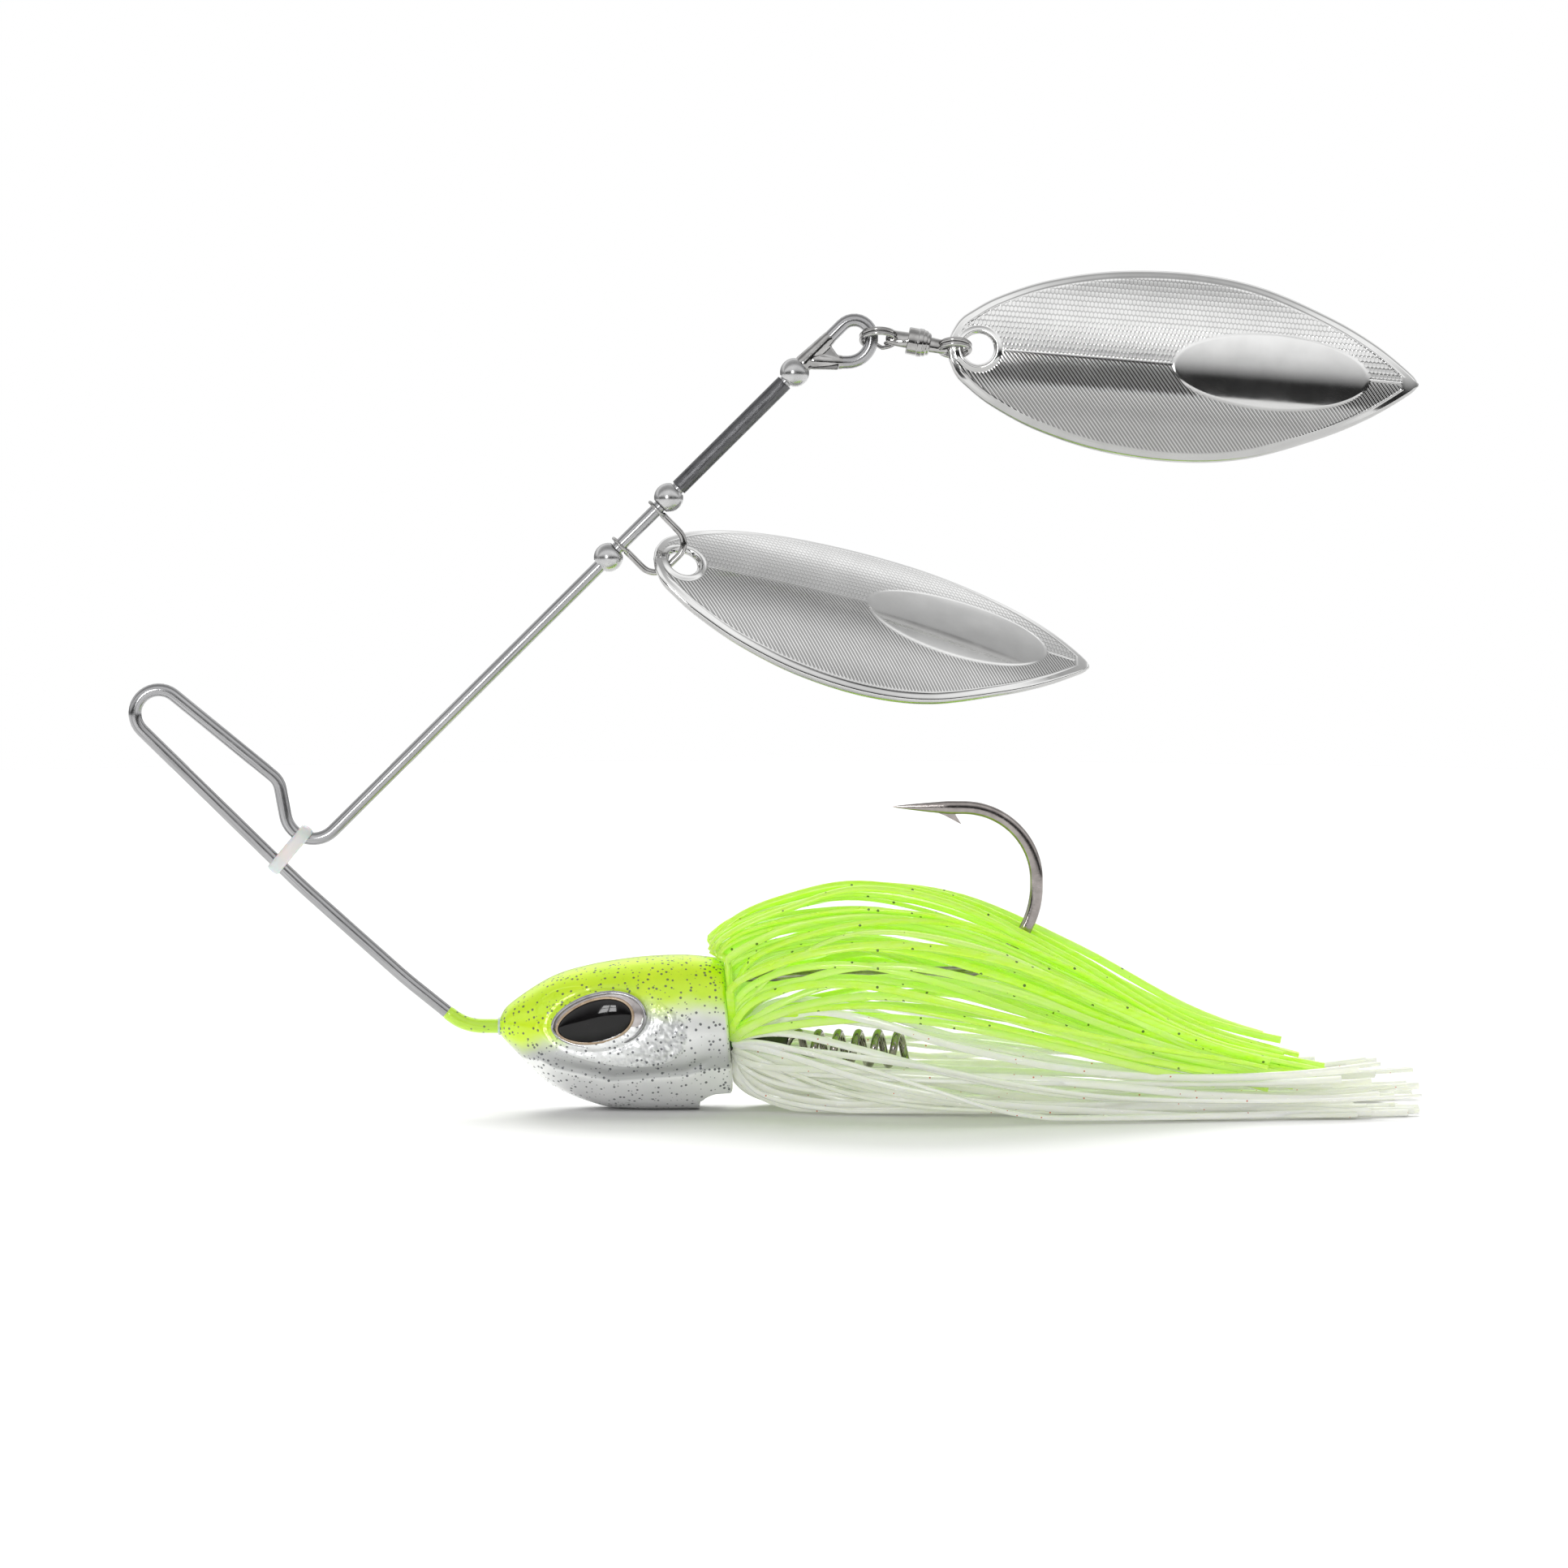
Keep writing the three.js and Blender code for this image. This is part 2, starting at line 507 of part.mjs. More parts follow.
// ---------------------------------------------------------------- assembly
part('wire_frame', frameSolid(), STEEL);
part('loop_ferrule', loopFerrule(), STEEL);
part('line_tie_ring', keeperBand(), ['#eef0ee', 0.5, 0]);
part('head', head(), CHARTREUSE);
eye(-1, 'left');
eye(1, 'right');
part('hook', hookSolid(), DARK);
part('trailer_keeper', keeperSolid(), DARK);
skirt();
stringArm();
part('clevis', clevis(), STEEL);
blade('blade_front', V(...FRONT_BLADE.holeAt), FRONT_BLADE);
part('split_ring_front', splitRing(FRONT_RING, V(FRONT_RING.x, 0, FRONT_RING.z)), STEEL);
swivel();
part('split_ring_rear', splitRing(REAR_RING, rearRingCentre), STEEL);
blade('blade_rear', rearRingCentre.clone().add(V(REAR_RING.r + REAR_BLADE.reach, 0, -RING_HANG)), REAR_BLADE);

export default model;
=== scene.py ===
"""Spinnerbait: wire frame, painted head, hook, rubber skirt, swivel and two embossed blades.

Shapes are worked out in millimetres in the row frame and turned into metres by piece().
"""
import random
from math import acos, ceil, copysign, cos, pi, radians, sin, tan

import bmesh
import bpy
import numpy as np
from mathutils import Euler, Matrix, Vector, noise

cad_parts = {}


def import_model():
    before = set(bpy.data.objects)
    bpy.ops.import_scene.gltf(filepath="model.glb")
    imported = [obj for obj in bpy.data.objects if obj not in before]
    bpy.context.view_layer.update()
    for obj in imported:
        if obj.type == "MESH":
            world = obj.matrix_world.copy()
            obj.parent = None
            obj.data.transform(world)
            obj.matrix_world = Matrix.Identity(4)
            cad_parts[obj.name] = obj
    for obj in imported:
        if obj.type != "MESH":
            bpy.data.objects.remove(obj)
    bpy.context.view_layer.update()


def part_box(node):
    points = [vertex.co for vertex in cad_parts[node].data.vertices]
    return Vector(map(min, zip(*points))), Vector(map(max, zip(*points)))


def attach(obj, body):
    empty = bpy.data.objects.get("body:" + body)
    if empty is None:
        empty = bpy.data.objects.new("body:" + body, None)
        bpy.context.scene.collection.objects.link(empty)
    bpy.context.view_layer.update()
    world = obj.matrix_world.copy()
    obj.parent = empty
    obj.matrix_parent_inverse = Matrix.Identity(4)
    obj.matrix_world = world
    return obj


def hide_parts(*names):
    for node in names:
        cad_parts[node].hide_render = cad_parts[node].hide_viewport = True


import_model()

MM = 0.001

# ---------------------------------------------------------------- driving sizes, millimetres
WIRE_D = 1.14
TIE_R = 2.1
UPPER_LEG_SLOPE, LOWER_LEG_SLOPE, ARM_SLOPE = -39.4, -45.6, 44.8
ARM_FOOT = (11.9, -13.66)
END_LOOP_R = 1.5
PAINT_START_X = 25.4               # the paint on the wire starts here

HEAD_AXIS_Z = -27.6
HEAD_NOSE_X, HEAD_REAR_X = 29.8, 49.7
FLOOR_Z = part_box("head")[0].z / MM
NECK_Z = -29.0
EYE = dict(x=38.7, z=-26.6, long=4.35, high=2.5, tilt=10, turn=9)

HOOK_D = 1.16
HOOK_EYE_X, HOOK_REAR_X, HOOK_TOP_Z = 41, 77.1, -8.3
KEEPER = dict(d=0.7, r=1.4, pitch=1.75, turns=5.5, x=56.2, z=-29.6)

BEAD_R = 1.275
BEADS = {"bead_low": 38.9, "bead_mid": 46.35, "bead_top": 61.9}
TUBE_R = 0.73
CLEVIS = dict(d=0.56, low=40.4, high=44.9, reach=4.25, eyelet_r=1.0)

RING_TILT, SWIVEL_SLOPE = -28, -10.8
FRONT_RING = dict(d=0.37, r=1.53, x=63.2, z=32.95)
REAR_RING = dict(d=0.4, r=1.32)
RING_HANG = 0.1
SWIVEL_EYES_APART = 3.85

BLADE = dict(length=41.3, thick=0.62, half_width=8.35, dish=2.7, bow=0.9)
BLADE_HOLE = dict(x=2.65, r=1.35, rim=2.05)
BLADE_PANEL = dict(x=28.3, long=8.6, high=3.3)
SCALE_X, SCALE_Z = 0.35, 0.47      # fish scales' width, and the height from row to row
RIB_X, RIB_RISE = 0.355, 1.15      # ribs' pitch along the blade, and how steeply they run
SHEET = 50                         # the blade's flat size that its material's coordinates span
REAR_BLADE = dict(down=4.7, roll=7.5, away=0, reach=0.78)
FRONT_BLADE = dict(down=14.6, roll=43.6, away=15.5, hole=(46.05, 0, 13.2))

rng = random.Random(7)


# ---------------------------------------------------------------- shapes as (points, faces)
def unit(v):
    v = np.asarray(v, float)
    return v / np.maximum(np.linalg.norm(v, axis=-1, keepdims=True), 1e-12)


def skin(rings, closed=False):
    """A surface over rings of points. Its ends are capped, or meet where closed is true."""
    rings = np.asarray(rings, float)
    rows, sides = rings.shape[:2]
    faces = []
    for i in range(rows if closed else rows - 1):
        a, b = i * sides, (i + 1) % rows * sides
        for k in range(sides):
            n = (k + 1) % sides
            faces.append((a + k, a + n, b + n, b + k))
    if not closed:
        faces.append(tuple(range(sides))[::-1])
        faces.append(tuple((rows - 1) * sides + k for k in range(sides)))
    return rings.reshape(-1, 3), faces


def merged(*shapes):
    points, faces, start = [], [], 0
    for p, f in shapes:
        points.append(np.asarray(p, float))
        faces += [tuple(start + i for i in face) for face in f]
        start += len(p)
    return np.vstack(points), faces


def moved(shape, matrix):
    p = np.asarray(shape[0], float)
    m = np.array(matrix)
    return p @ m[:3, :3].T + m[:3, 3], shape[1]


def circle(count):
    return np.linspace(0, 2 * pi, count, endpoint=False)


def frames(points):
    """Tangent, side and up at each point of a line, turning as little as they can."""
    p = np.asarray(points, float)
    d = unit(np.diff(p, axis=0))
    along = unit(np.vstack([d[:1], d]) + np.vstack([d, d[-1:]]))
    side, sides = np.array((0.0, 1.0, 0.0)), []
    for t in along:
        side = unit(side - t * side.dot(t))
        sides.append(side)
    sides = np.array(sides)
    return along, sides, np.cross(along, sides)


def shares(points):
    run = np.concatenate([[0], np.cumsum(np.linalg.norm(np.diff(points, axis=0), axis=1))])
    return run / run[-1]


def tube(points, radius, sides=24, round_ends=True, across=1.0, square=2.0):
    """A rod along points. radius is a number or a function of the share of the length.
    across flattens it along the side direction, square above 2 makes its section boxier."""
    p = np.asarray(points, float)
    r = np.array([radius(s) if callable(radius) else radius for s in shares(p)])
    if round_ends:
        t0, t1 = unit(p[0] - p[1]), unit(p[-1] - p[-2])
        turns = np.radians([80, 55, 30])
        first = [p[0] + t0 * r[0] * sin(a) for a in turns]
        final = [p[-1] + t1 * r[-1] * sin(a) for a in turns[::-1]]
        r = np.concatenate([r[0] * np.cos(turns), r, r[-1] * np.cos(turns[::-1])])
        p = np.vstack([first, p, final])
    _, side, up = frames(p)
    turn = circle(sides)
    c, s = np.cos(turn), np.sin(turn)
    c, s = np.sign(c) * abs(c) ** (2 / square), np.sign(s) * abs(s) ** (2 / square)
    rings = p[:, None] + r[:, None, None] * (
        across * c[None, :, None] * side[:, None] + s[None, :, None] * up[:, None])
    return skin(rings)


def lathe(profile, sides=48):
    """A solid of revolution about X. profile runs round the outline as (x, radius)."""
    turn = circle(sides)
    rings = [[(x, r * cos(a), r * sin(a)) for a in turn] for x, r in profile]
    return skin(rings, closed=True)


def eased(profile, radius=0.04, steps=3):
    """The closed profile with each corner rounded."""
    p = [Vector(c) for c in profile]
    out = []
    for i, at in enumerate(p):
        back, on = p[i - 1] - at, p[(i + 1) % len(p)] - at
        if back.length < 1e-6 or on.length < 1e-6:
            continue
        cut = min(radius, back.length * 0.45, on.length * 0.45)
        a, b = at + back.normalized() * cut, at + on.normalized() * cut
        for k in range(steps + 1):
            u = k / steps
            out.append(tuple(a * (1 - u) ** 2 + at * 2 * u * (1 - u) + b * u * u))
    return out


def torus(ring_r, r, across=1.0, steps=48, sides=20):
    """A ring round Z. across scales its section along Z."""
    rings = []
    for i in range(steps):
        a = 2 * pi * i / steps
        rings.append([((ring_r + r * cos(b)) * cos(a), (ring_r + r * cos(b)) * sin(a),
                       r * across * sin(b)) for b in circle(sides)])
    return skin(rings, closed=True)


def ball(r, rows=20, sides=32):
    profile = [(-r * cos(a), r * sin(a)) for a in np.linspace(0, pi, rows)]
    turn = circle(sides)
    rings = [[(x, q * cos(a), q * sin(a)) for a in turn] for x, q in profile[1:-1]]
    return skin(rings)


def loose_object(shape):
    mesh = bpy.data.meshes.new("shape")
    mesh.from_pydata([tuple(p) for p in shape[0]], [], shape[1])
    tidy_normals(mesh)
    obj = bpy.data.objects.new("shape", mesh)
    bpy.context.scene.collection.objects.link(obj)
    return obj


def taken(obj, *helpers):
    """The shape of obj with its modifiers applied. The objects are removed."""
    done = obj.evaluated_get(bpy.context.evaluated_depsgraph_get())
    out = done.to_mesh()
    shape = np.array([v.co for v in out.vertices]), [tuple(f.vertices) for f in out.polygons]
    done.to_mesh_clear()
    for used in (obj, *helpers):
        mesh = used.data
        bpy.data.objects.remove(used)
        bpy.data.meshes.remove(mesh)
    return shape


def melted(shapes, voxel, easing):
    """One rounded body made of overlapping shapes, as cast or brazed metal is."""
    obj = loose_object(merged(*shapes))
    grow = obj.modifiers.new("body", "REMESH")
    grow.mode, grow.voxel_size = "VOXEL", voxel
    ease = obj.modifiers.new("ease", "SMOOTH")
    ease.factor, ease.iterations = 0.5, easing
    return taken(obj)


def tidy_normals(mesh):
    bm = bmesh.new()
    bm.from_mesh(mesh)
    bmesh.ops.recalc_face_normals(bm, faces=bm.faces)
    bm.to_mesh(mesh)
    bm.free()


def piece(name, shape, material, body, replaces=(), sharp=40, tone=None):
    """An object of the visual model, from a shape in millimetres."""
    points, faces = shape
    mesh = bpy.data.meshes.new(name)
    mesh.from_pydata([tuple(p) for p in np.asarray(points, float) * MM], [], faces)
    tidy_normals(mesh)
    mesh.polygons.foreach_set("use_smooth", [True] * len(mesh.polygons))
    mesh.set_sharp_from_angle(angle=radians(sharp))
    if tone is not None:
        mesh.attributes.new("tone", "FLOAT", "POINT").data.foreach_set("value", tone)
    mesh.materials.append(material)
    obj = bpy.data.objects.new(name, mesh)
    bpy.context.scene.collection.objects.link(obj)
    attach(obj, body)
    if replaces:
        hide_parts(*replaces)
    return obj


# ---------------------------------------------------------------- lines and outlines
def bent(corners, step=5):
    """Points along a wire bent in the plane Y = 0. corners are (x, z, bend radius)."""
    at = [Vector((c[0], 0, c[1])) for c in corners]
    points = [at[0]]
    for i in range(1, len(at) - 1):
        back, on = (at[i - 1] - at[i]).normalized(), (at[i + 1] - at[i]).normalized()
        half = back.angle(on) / 2
        r = corners[i][2]
        centre = at[i] + (back + on).normalized() * (r / sin(half))
        spoke = at[i] + back * (r / tan(half)) - centre
        turn = pi - 2 * half
        steps = max(2, ceil(turn / radians(step)))
        for k in range(steps + 1):
            a = turn * k / steps
            points.append(centre + spoke * cos(a) - back * (r * sin(a)))
    return [tuple(p) for p in points + [at[-1]]]


def smooth(points, steps=12):
    """A curve through points, in any number of dimensions."""
    p = np.asarray(points, float)
    p = np.vstack([2 * p[0] - p[1], p, 2 * p[-1] - p[-2]])
    out = []
    for i in range(1, len(p) - 2):
        a, b, c, d = p[i - 1:i + 3]
        for u in np.arange(steps) / steps:
            out.append(0.5 * (2 * b + (c - a) * u + (2 * a - 5 * b + 4 * c - d) * u ** 2
                              + (3 * b - a - 3 * c + d) * u ** 3))
    return np.array(out + [p[-2]])


def outline(points):
    """A function that gives an outline's value at x, from its (x, value) points."""
    curve = smooth(points, 24)
    return lambda x: np.interp(x, curve[:, 0], curve[:, 1])


arm_dir = Vector((cos(radians(ARM_SLOPE)), 0, sin(radians(ARM_SLOPE))))
arm_down = Vector((arm_dir.z, 0, -arm_dir.x))


def on_arm(s, out=0.0, y=0.0):
    return Vector((ARM_FOOT[0], y, ARM_FOOT[1])) + arm_dir * s + arm_down * out


def lay_on_arm(shape, s):
    turn = Matrix.Rotation(-radians(ARM_SLOPE), 4, "Y")
    return moved(shape, Matrix.Translation(on_arm(s)) @ turn)


def frame_points():
    def leg_z(slope, side, x):
        slope = radians(slope)
        return side * TIE_R / cos(slope) + x * tan(slope)
    loop_top = on_arm(71.4)
    return bent([
        (HOOK_EYE_X + 1.3, HEAD_AXIS_Z),
        (26.8, HEAD_AXIS_Z, 4.5),
        (21.6, -23.4, 40),
        (12.2, -14.94, 60),
        (-TIE_R, leg_z(LOWER_LEG_SLOPE, -1, -TIE_R), TIE_R),
        (-TIE_R, leg_z(UPPER_LEG_SLOPE, 1, -TIE_R), TIE_R),
        (10.5, leg_z(UPPER_LEG_SLOPE, 1, 10.5), 1.8),
        (*ARM_FOOT, 2.5),
        (loop_top.x, loop_top.z, END_LOOP_R),
        (loop_top.x, 30.85, 2.1),
        (58.7, 30.85),
    ], 4)


# ---------------------------------------------------------------- materials
class Value:
    """A shader socket that takes part in sums, as x * x + 0.5 does."""

    def __init__(self, graph, socket):
        self.graph, self.socket = graph, socket

    def __add__(self, other):
        return self.graph.math("ADD", self, other)

    def __sub__(self, other):
        return self.graph.math("SUBTRACT", self, other)

    def __rsub__(self, other):
        return self.graph.math("SUBTRACT", other, self)

    def __mul__(self, other):
        return self.graph.math("MULTIPLY", self, other)

    def __truediv__(self, other):
        return self.graph.math("DIVIDE", self, other)

    def __pow__(self, other):
        return self.graph.math("POWER", self, other)

    def __lt__(self, other):
        return self.graph.math("LESS_THAN", self, other)

    def __abs__(self):
        return self.graph.math("ABSOLUTE", self)

    __radd__, __rmul__ = __add__, __mul__


class Graph:
    """Short calls that add shader nodes to a tree."""

    def __init__(self, tree):
        self.tree = tree

    def node(self, kind, inputs=(), out=0, **settings):
        made = self.tree.nodes.new("ShaderNode" + kind)
        for key, value in settings.items():
            setattr(made, key, value)
        for key, value in dict(inputs).items():
            self.feed(made.inputs[key], value)
        return None if out is None else Value(self, made.outputs[out])

    def feed(self, socket, value):
        if isinstance(value, Value):
            self.tree.links.new(value.socket, socket)
        elif socket.type == "RGBA":
            socket.default_value = (*value, 1)
        else:
            socket.default_value = value

    def parts(self, vector):
        split = self.tree.nodes.new("ShaderNodeSeparateXYZ")
        self.feed(split.inputs[0], vector)
        return [Value(self, socket) for socket in split.outputs]

    def math(self, operation, a, b=0.0, c=0.0):
        return self.node("Math", {0: a, 1: b, 2: c}, operation=operation)

    def noise(self, at, scale, detail=3.0, rough=0.5):
        return self.node("TexNoise", {"Vector": at, "Scale": scale, "Detail": detail, "Roughness": rough})

    def span(self, value, low, high, to_low=0.0, to_high=1.0, smoothly=False):
        kind = "SMOOTHSTEP" if smoothly else "LINEAR"
        return self.node("MapRange", {"Value": value, "From Min": low, "From Max": high,
                                      "To Min": to_low, "To Max": to_high}, interpolation_type=kind)

    def clouded(self, noise, to_low=0.0, to_high=1.0):
        return self.span(noise, 0.3, 0.7, to_low, to_high)

    def ramp(self, value, stops, kind="LINEAR"):
        """A curve through (position, level) stops."""
        made = self.tree.nodes.new("ShaderNodeValToRGB")
        curve = made.color_ramp
        curve.interpolation = kind
        while len(curve.elements) < len(stops):
            curve.elements.new(0.5)
        for element, (position, level) in zip(curve.elements, stops):
            element.position = position
            element.color = (level, level, level, 1)
        self.feed(made.inputs[0], value)
        return Value(self, made.outputs[0])

    def mix(self, share, a, b):
        return self.node("Mix", {"Factor": share, 6: a, 7: b}, out=2, data_type="RGBA")

    def bump(self, height, strength, distance):
        return self.node("Bump", {"Height": height, "Strength": strength, "Distance": distance})

    def flecks(self, at, cell, size, share):
        """1 inside round flecks: cell is their spacing, size their radius, share how many cells hold one."""
        away, tint = [self.node("TexVoronoi", {"Vector": at, "Scale": 1 / cell}, out)
                      for out in ("Distance", "Color")]
        picked = self.node("SeparateColor", {"Color": tint}) < share
        return picked * self.span(away, size / cell * 1.15, size / cell * 0.85)


class Look(Graph):
    """A principled material."""

    def __init__(self, name, **sockets):
        self.material = bpy.data.materials.new(name)
        self.material.use_nodes = True
        super().__init__(self.material.node_tree)
        self.shader = self.tree.nodes["Principled BSDF"]
        for key, value in sockets.items():
            self.set(key.replace("_", " "), value)

    def set(self, name, value):
        self.feed(self.shader.inputs[name], value)

    def place(self, stretch=(1, 1, 1)):
        """Object coordinates in millimetres, stretched along the axes."""
        scale = [1000 * s for s in stretch]
        return self.node("Mapping", {"Vector": self.node("TexCoord", out="Object"), "Scale": scale})


def metal(name, color, dark, rough, grain=(1, 1, 1), scratch=0.12):
    """Plated metal with handling marks: colour, roughness and fine lines vary over the surface."""
    look = Look(name, Metallic=1.0)
    at = look.place()
    cloud = look.noise(at, 0.9, 4)
    look.set("Base Color", look.mix(look.span(cloud, 0.35, 0.7), dark, color))
    lines = look.noise(look.place(grain), 6.0, 5, 0.65)
    look.set("Roughness", look.span(lines, 0.3, 0.75, rough * 0.75, rough * 1.5))
    look.set("Normal", look.bump(lines, scratch, 0.00002))
    return look.material


def scale_edge(x, z, nearest, lesser):
    """Distance from the edges of six-sided fish scales, for numbers or for shader values. nearest gives
    how far a number is from the nearest whole one, and lesser the smaller of two."""
    centres = []
    for shift in (0, 0.5):
        across = nearest(x / SCALE_X + shift) * SCALE_X
        up = nearest(z / (2 * SCALE_Z) + shift) * (2 * SCALE_Z)
        centres.append((abs(across), across * across + up * up * 0.45))
    (a_across, a), (b_across, b) = centres
    mine = (a < b) * a_across + (1 - (a < b)) * b_across
    return lesser(abs(a - b) / (SCALE_X * 1.9), SCALE_X / 2 - mine)


def rib_turn(x, z):
    """The angle whose cosine is the height of the slanted ribs."""
    return (x + z / RIB_RISE) / (RIB_X / (2 * pi))


def embossed_chrome():
    """Bright plating. A fine bump follows the raised lines of the embossed scales and ribs. Painted shade
    darkens the scales' raised edge lines, the hollows between the ribs and the side that faces down.
    """
    look = Look("blade_chrome", Metallic=1.0)
    cloud = look.noise(look.place(), 0.5, 4)
    x, z, _ = [value * SHEET for value in look.parts(look.node("UVMap", uv_map="sheet"))]
    edge = scale_edge(x, z, lambda v: look.math("WRAP", v, 0.5, -0.5),
                      lambda a, b: look.math("MINIMUM", a, b))
    scale_line = look.span(edge, 0.05, 0.015, smoothly=True)
    rib_line = look.span(look.math("COSINE", rib_turn(x, z)), -0.1, 0.8, smoothly=True)
    upper = look.math("GREATER_THAN", z, 0.0)
    embossed = look.node("Attribute", out="Fac", attribute_name="tone")
    line = (upper * scale_line + (1 - upper) * rib_line) * embossed
    color = look.mix(look.clouded(cloud), (0.72, 0.72, 0.715), (0.79, 0.79, 0.785))
    # painted shade: the hollows between the raised ribs are darkened
    color = look.mix(embossed * (1 - upper) * (0.75 - line), color, (0.20, 0.20, 0.198))
    # painted shade: the raised edge lines of the scales are darkened
    color = look.mix(line * upper * 0.5, color, (0.38, 0.38, 0.378))
    # painted shade: faces that point downwards are darkened
    facing = look.parts(look.node("TexCoord", out="Normal"))[2]
    look.set("Base Color", look.mix(look.span(facing, -0.02, -0.2, 0, 0.45), color, (0.16, 0.158, 0.155)))
    look.set("Roughness", look.clouded(cloud, 0.07, 0.12))
    look.set("Normal", look.bump(line, 0.5, 0.00002))
    return look.material


def drawn_wire():
    look = Look("spring_wire", Metallic=1.0)
    at = look.node("TexCoord", out="UV")
    lines = look.noise(look.node("Mapping", {"Vector": at, "Scale": (0.15, 40, 1)}), 1.0, 4, 0.6)
    cloud = look.noise(look.place(), 0.7, 4)
    look.set("Base Color", look.mix(look.span(lines, 0.3, 0.7), (0.20, 0.20, 0.205), (0.56, 0.56, 0.57)))
    look.set("Roughness", look.clouded(cloud, 0.14, 0.26))
    look.set("Normal", look.bump(lines, 0.1, 0.00003))
    return look.material


def gunmetal():
    look = Look("gunmetal", Metallic=1.0)
    at = look.node("TexCoord", out="UV")
    lines = look.noise(look.node("Mapping", {"Vector": at, "Scale": (0.3, 60, 1)}), 1.0, 5, 0.7)
    look.set("Base Color", look.mix(look.span(lines, 0.35, 0.65), (0.035, 0.035, 0.037), (0.20, 0.20, 0.21)))
    look.set("Roughness", look.span(lines, 0.3, 0.7, 0.22, 0.38))
    look.set("Normal", look.bump(lines, 0.35, 0.00004))
    return look.material


def silicone_band():
    look = Look("silicone_band", Roughness=0.38, Subsurface_Weight=0.6, Subsurface_Scale=0.001,
                Transmission_Weight=0.25, IOR=1.41)
    at = look.place()
    cloud = look.noise(at, 1.3, 4)
    look.set("Base Color", look.mix(cloud, (0.90, 0.91, 0.90), (0.97, 0.97, 0.965)))
    look.set("Normal", look.bump(look.noise(at, 9, 3), 0.15, 0.00004))
    return look.material


def head_paint():
    """Pearl silver below and chartreuse above, bright foil on the cheek, dark glitter, gloss coat. Painted
    shade greys a band above the jaw line and the underside, and painted crinkle shade greys the rear of the
    foil.
    """
    look = Look("head_paint", Coat_Weight=0.7, Coat_Roughness=0.03, Coat_IOR=1.5)
    at = look.place()
    x, _, z = look.parts(at)
    # height of the colour change along the head: low at the nose, high behind the eye
    heights = ((0.0, -29.9), (0.2, -28.9), (0.45, -26.8), (0.65, -25.1), (1.0, -25.9))
    level = look.ramp(look.span(x, HEAD_NOSE_X, HEAD_REAR_X), [(p, (h + 32) / 10) for p, h in heights],
                      "B_SPLINE")
    above = z - look.span(level, 0, 1, -32, -22)
    wobble = look.clouded(look.noise(at, 0.35, 2), -0.35, 0.35)
    green = look.span(above + wobble, -1.3, 1.3, smoothly=True)
    foil = look.span(cheek_size(x, z), 1.03, 0.97)
    cloud = look.noise(at, 0.5, 3)
    pearl = look.mix(look.clouded(cloud), (0.93, 0.94, 0.94), (1.0, 1.0, 1.0))
    heights = ((0.0, -30.3), (0.09, -31.0), (0.42, -32.0), (0.85, -31.5), (1.0, -30.9))
    jaw = look.ramp(look.span(x, 33.5, 48.5), [(p, (h + 33) / 3) for p, h in heights])
    over_jaw = z - look.span(jaw, 0, 1, -33, -30)
    # painted shade: a grey band just above the jaw line
    shade = look.span(over_jaw, -0.05, 0.15) * look.span(over_jaw, 3.2, 1.0)
    pearl = look.mix(shade * 0.75, pearl, (0.36, 0.37, 0.37))
    # painted shade: the pearl turns grey where the surface faces down
    facing = look.parts(look.node("TexCoord", out="Normal"))[2]
    pearl = look.mix(look.span(facing, -0.35, -0.95, 0, 0.4), pearl, (0.45, 0.45, 0.45))
    painted_crinkle_shade = look.node("Attribute", out="Fac", attribute_name="tone")
    # painted shade of the foil's crinkles: bright foil where the mask is low, grey where it is high
    pearl = look.mix(foil, pearl, look.mix(painted_crinkle_shade, (0.95, 0.96, 0.96), (0.46, 0.47, 0.48)))
    lime = look.mix(look.clouded(cloud), (0.65, 0.97, 0.006), (0.73, 1.0, 0.01))
    color = look.mix(green, pearl, lime)
    glitter = look.flecks(at, 0.42, 0.118, 0.55)
    fine = look.flecks(look.node("Mapping", {"Vector": at, "Location": (3.3, 1.7, 5.1)}), 0.4, 0.07, 0.5)
    dark = look.math("MAXIMUM", glitter, fine * 0.7)
    look.set("Base Color", look.mix(dark * 0.86, color, (0.055, 0.06, 0.075)))
    look.set("Metallic", look.math("MAXIMUM", green * -0.3 + 0.38, 0.08))
    look.set("Roughness", look.clouded(cloud, 0.27, 0.36))
    return look.material


CHEEK = dict(x=39.75, z=-27.15, long=6.75, high=3.28, slope=-9)


def cheek_size(x, z):
    """1 on the edge of the foil patch round the eye and less inside it, for numbers or shader values."""
    c, s = cos(radians(CHEEK["slope"])), sin(radians(CHEEK["slope"]))
    dx, dz = x - CHEEK["x"], z - CHEEK["z"]
    u, v = (dx * c + dz * s) / CHEEK["long"], (dz * c - dx * s) / CHEEK["high"]
    return abs(u) ** 2.3 + abs(v) ** 2.3


def wire_paint():
    look = Look("wire_paint", Coat_Weight=1.0, Coat_Roughness=0.04, Roughness=0.3)
    at = look.place()
    cloud = look.noise(at, 0.8, 3)
    lime = look.mix(cloud, (0.46, 0.80, 0.02), (0.60, 0.90, 0.03))
    glitter = look.flecks(at, 0.4, 0.11, 0.4)
    look.set("Base Color", look.mix(glitter * 0.85, lime, (0.06, 0.065, 0.07)))
    return look.material


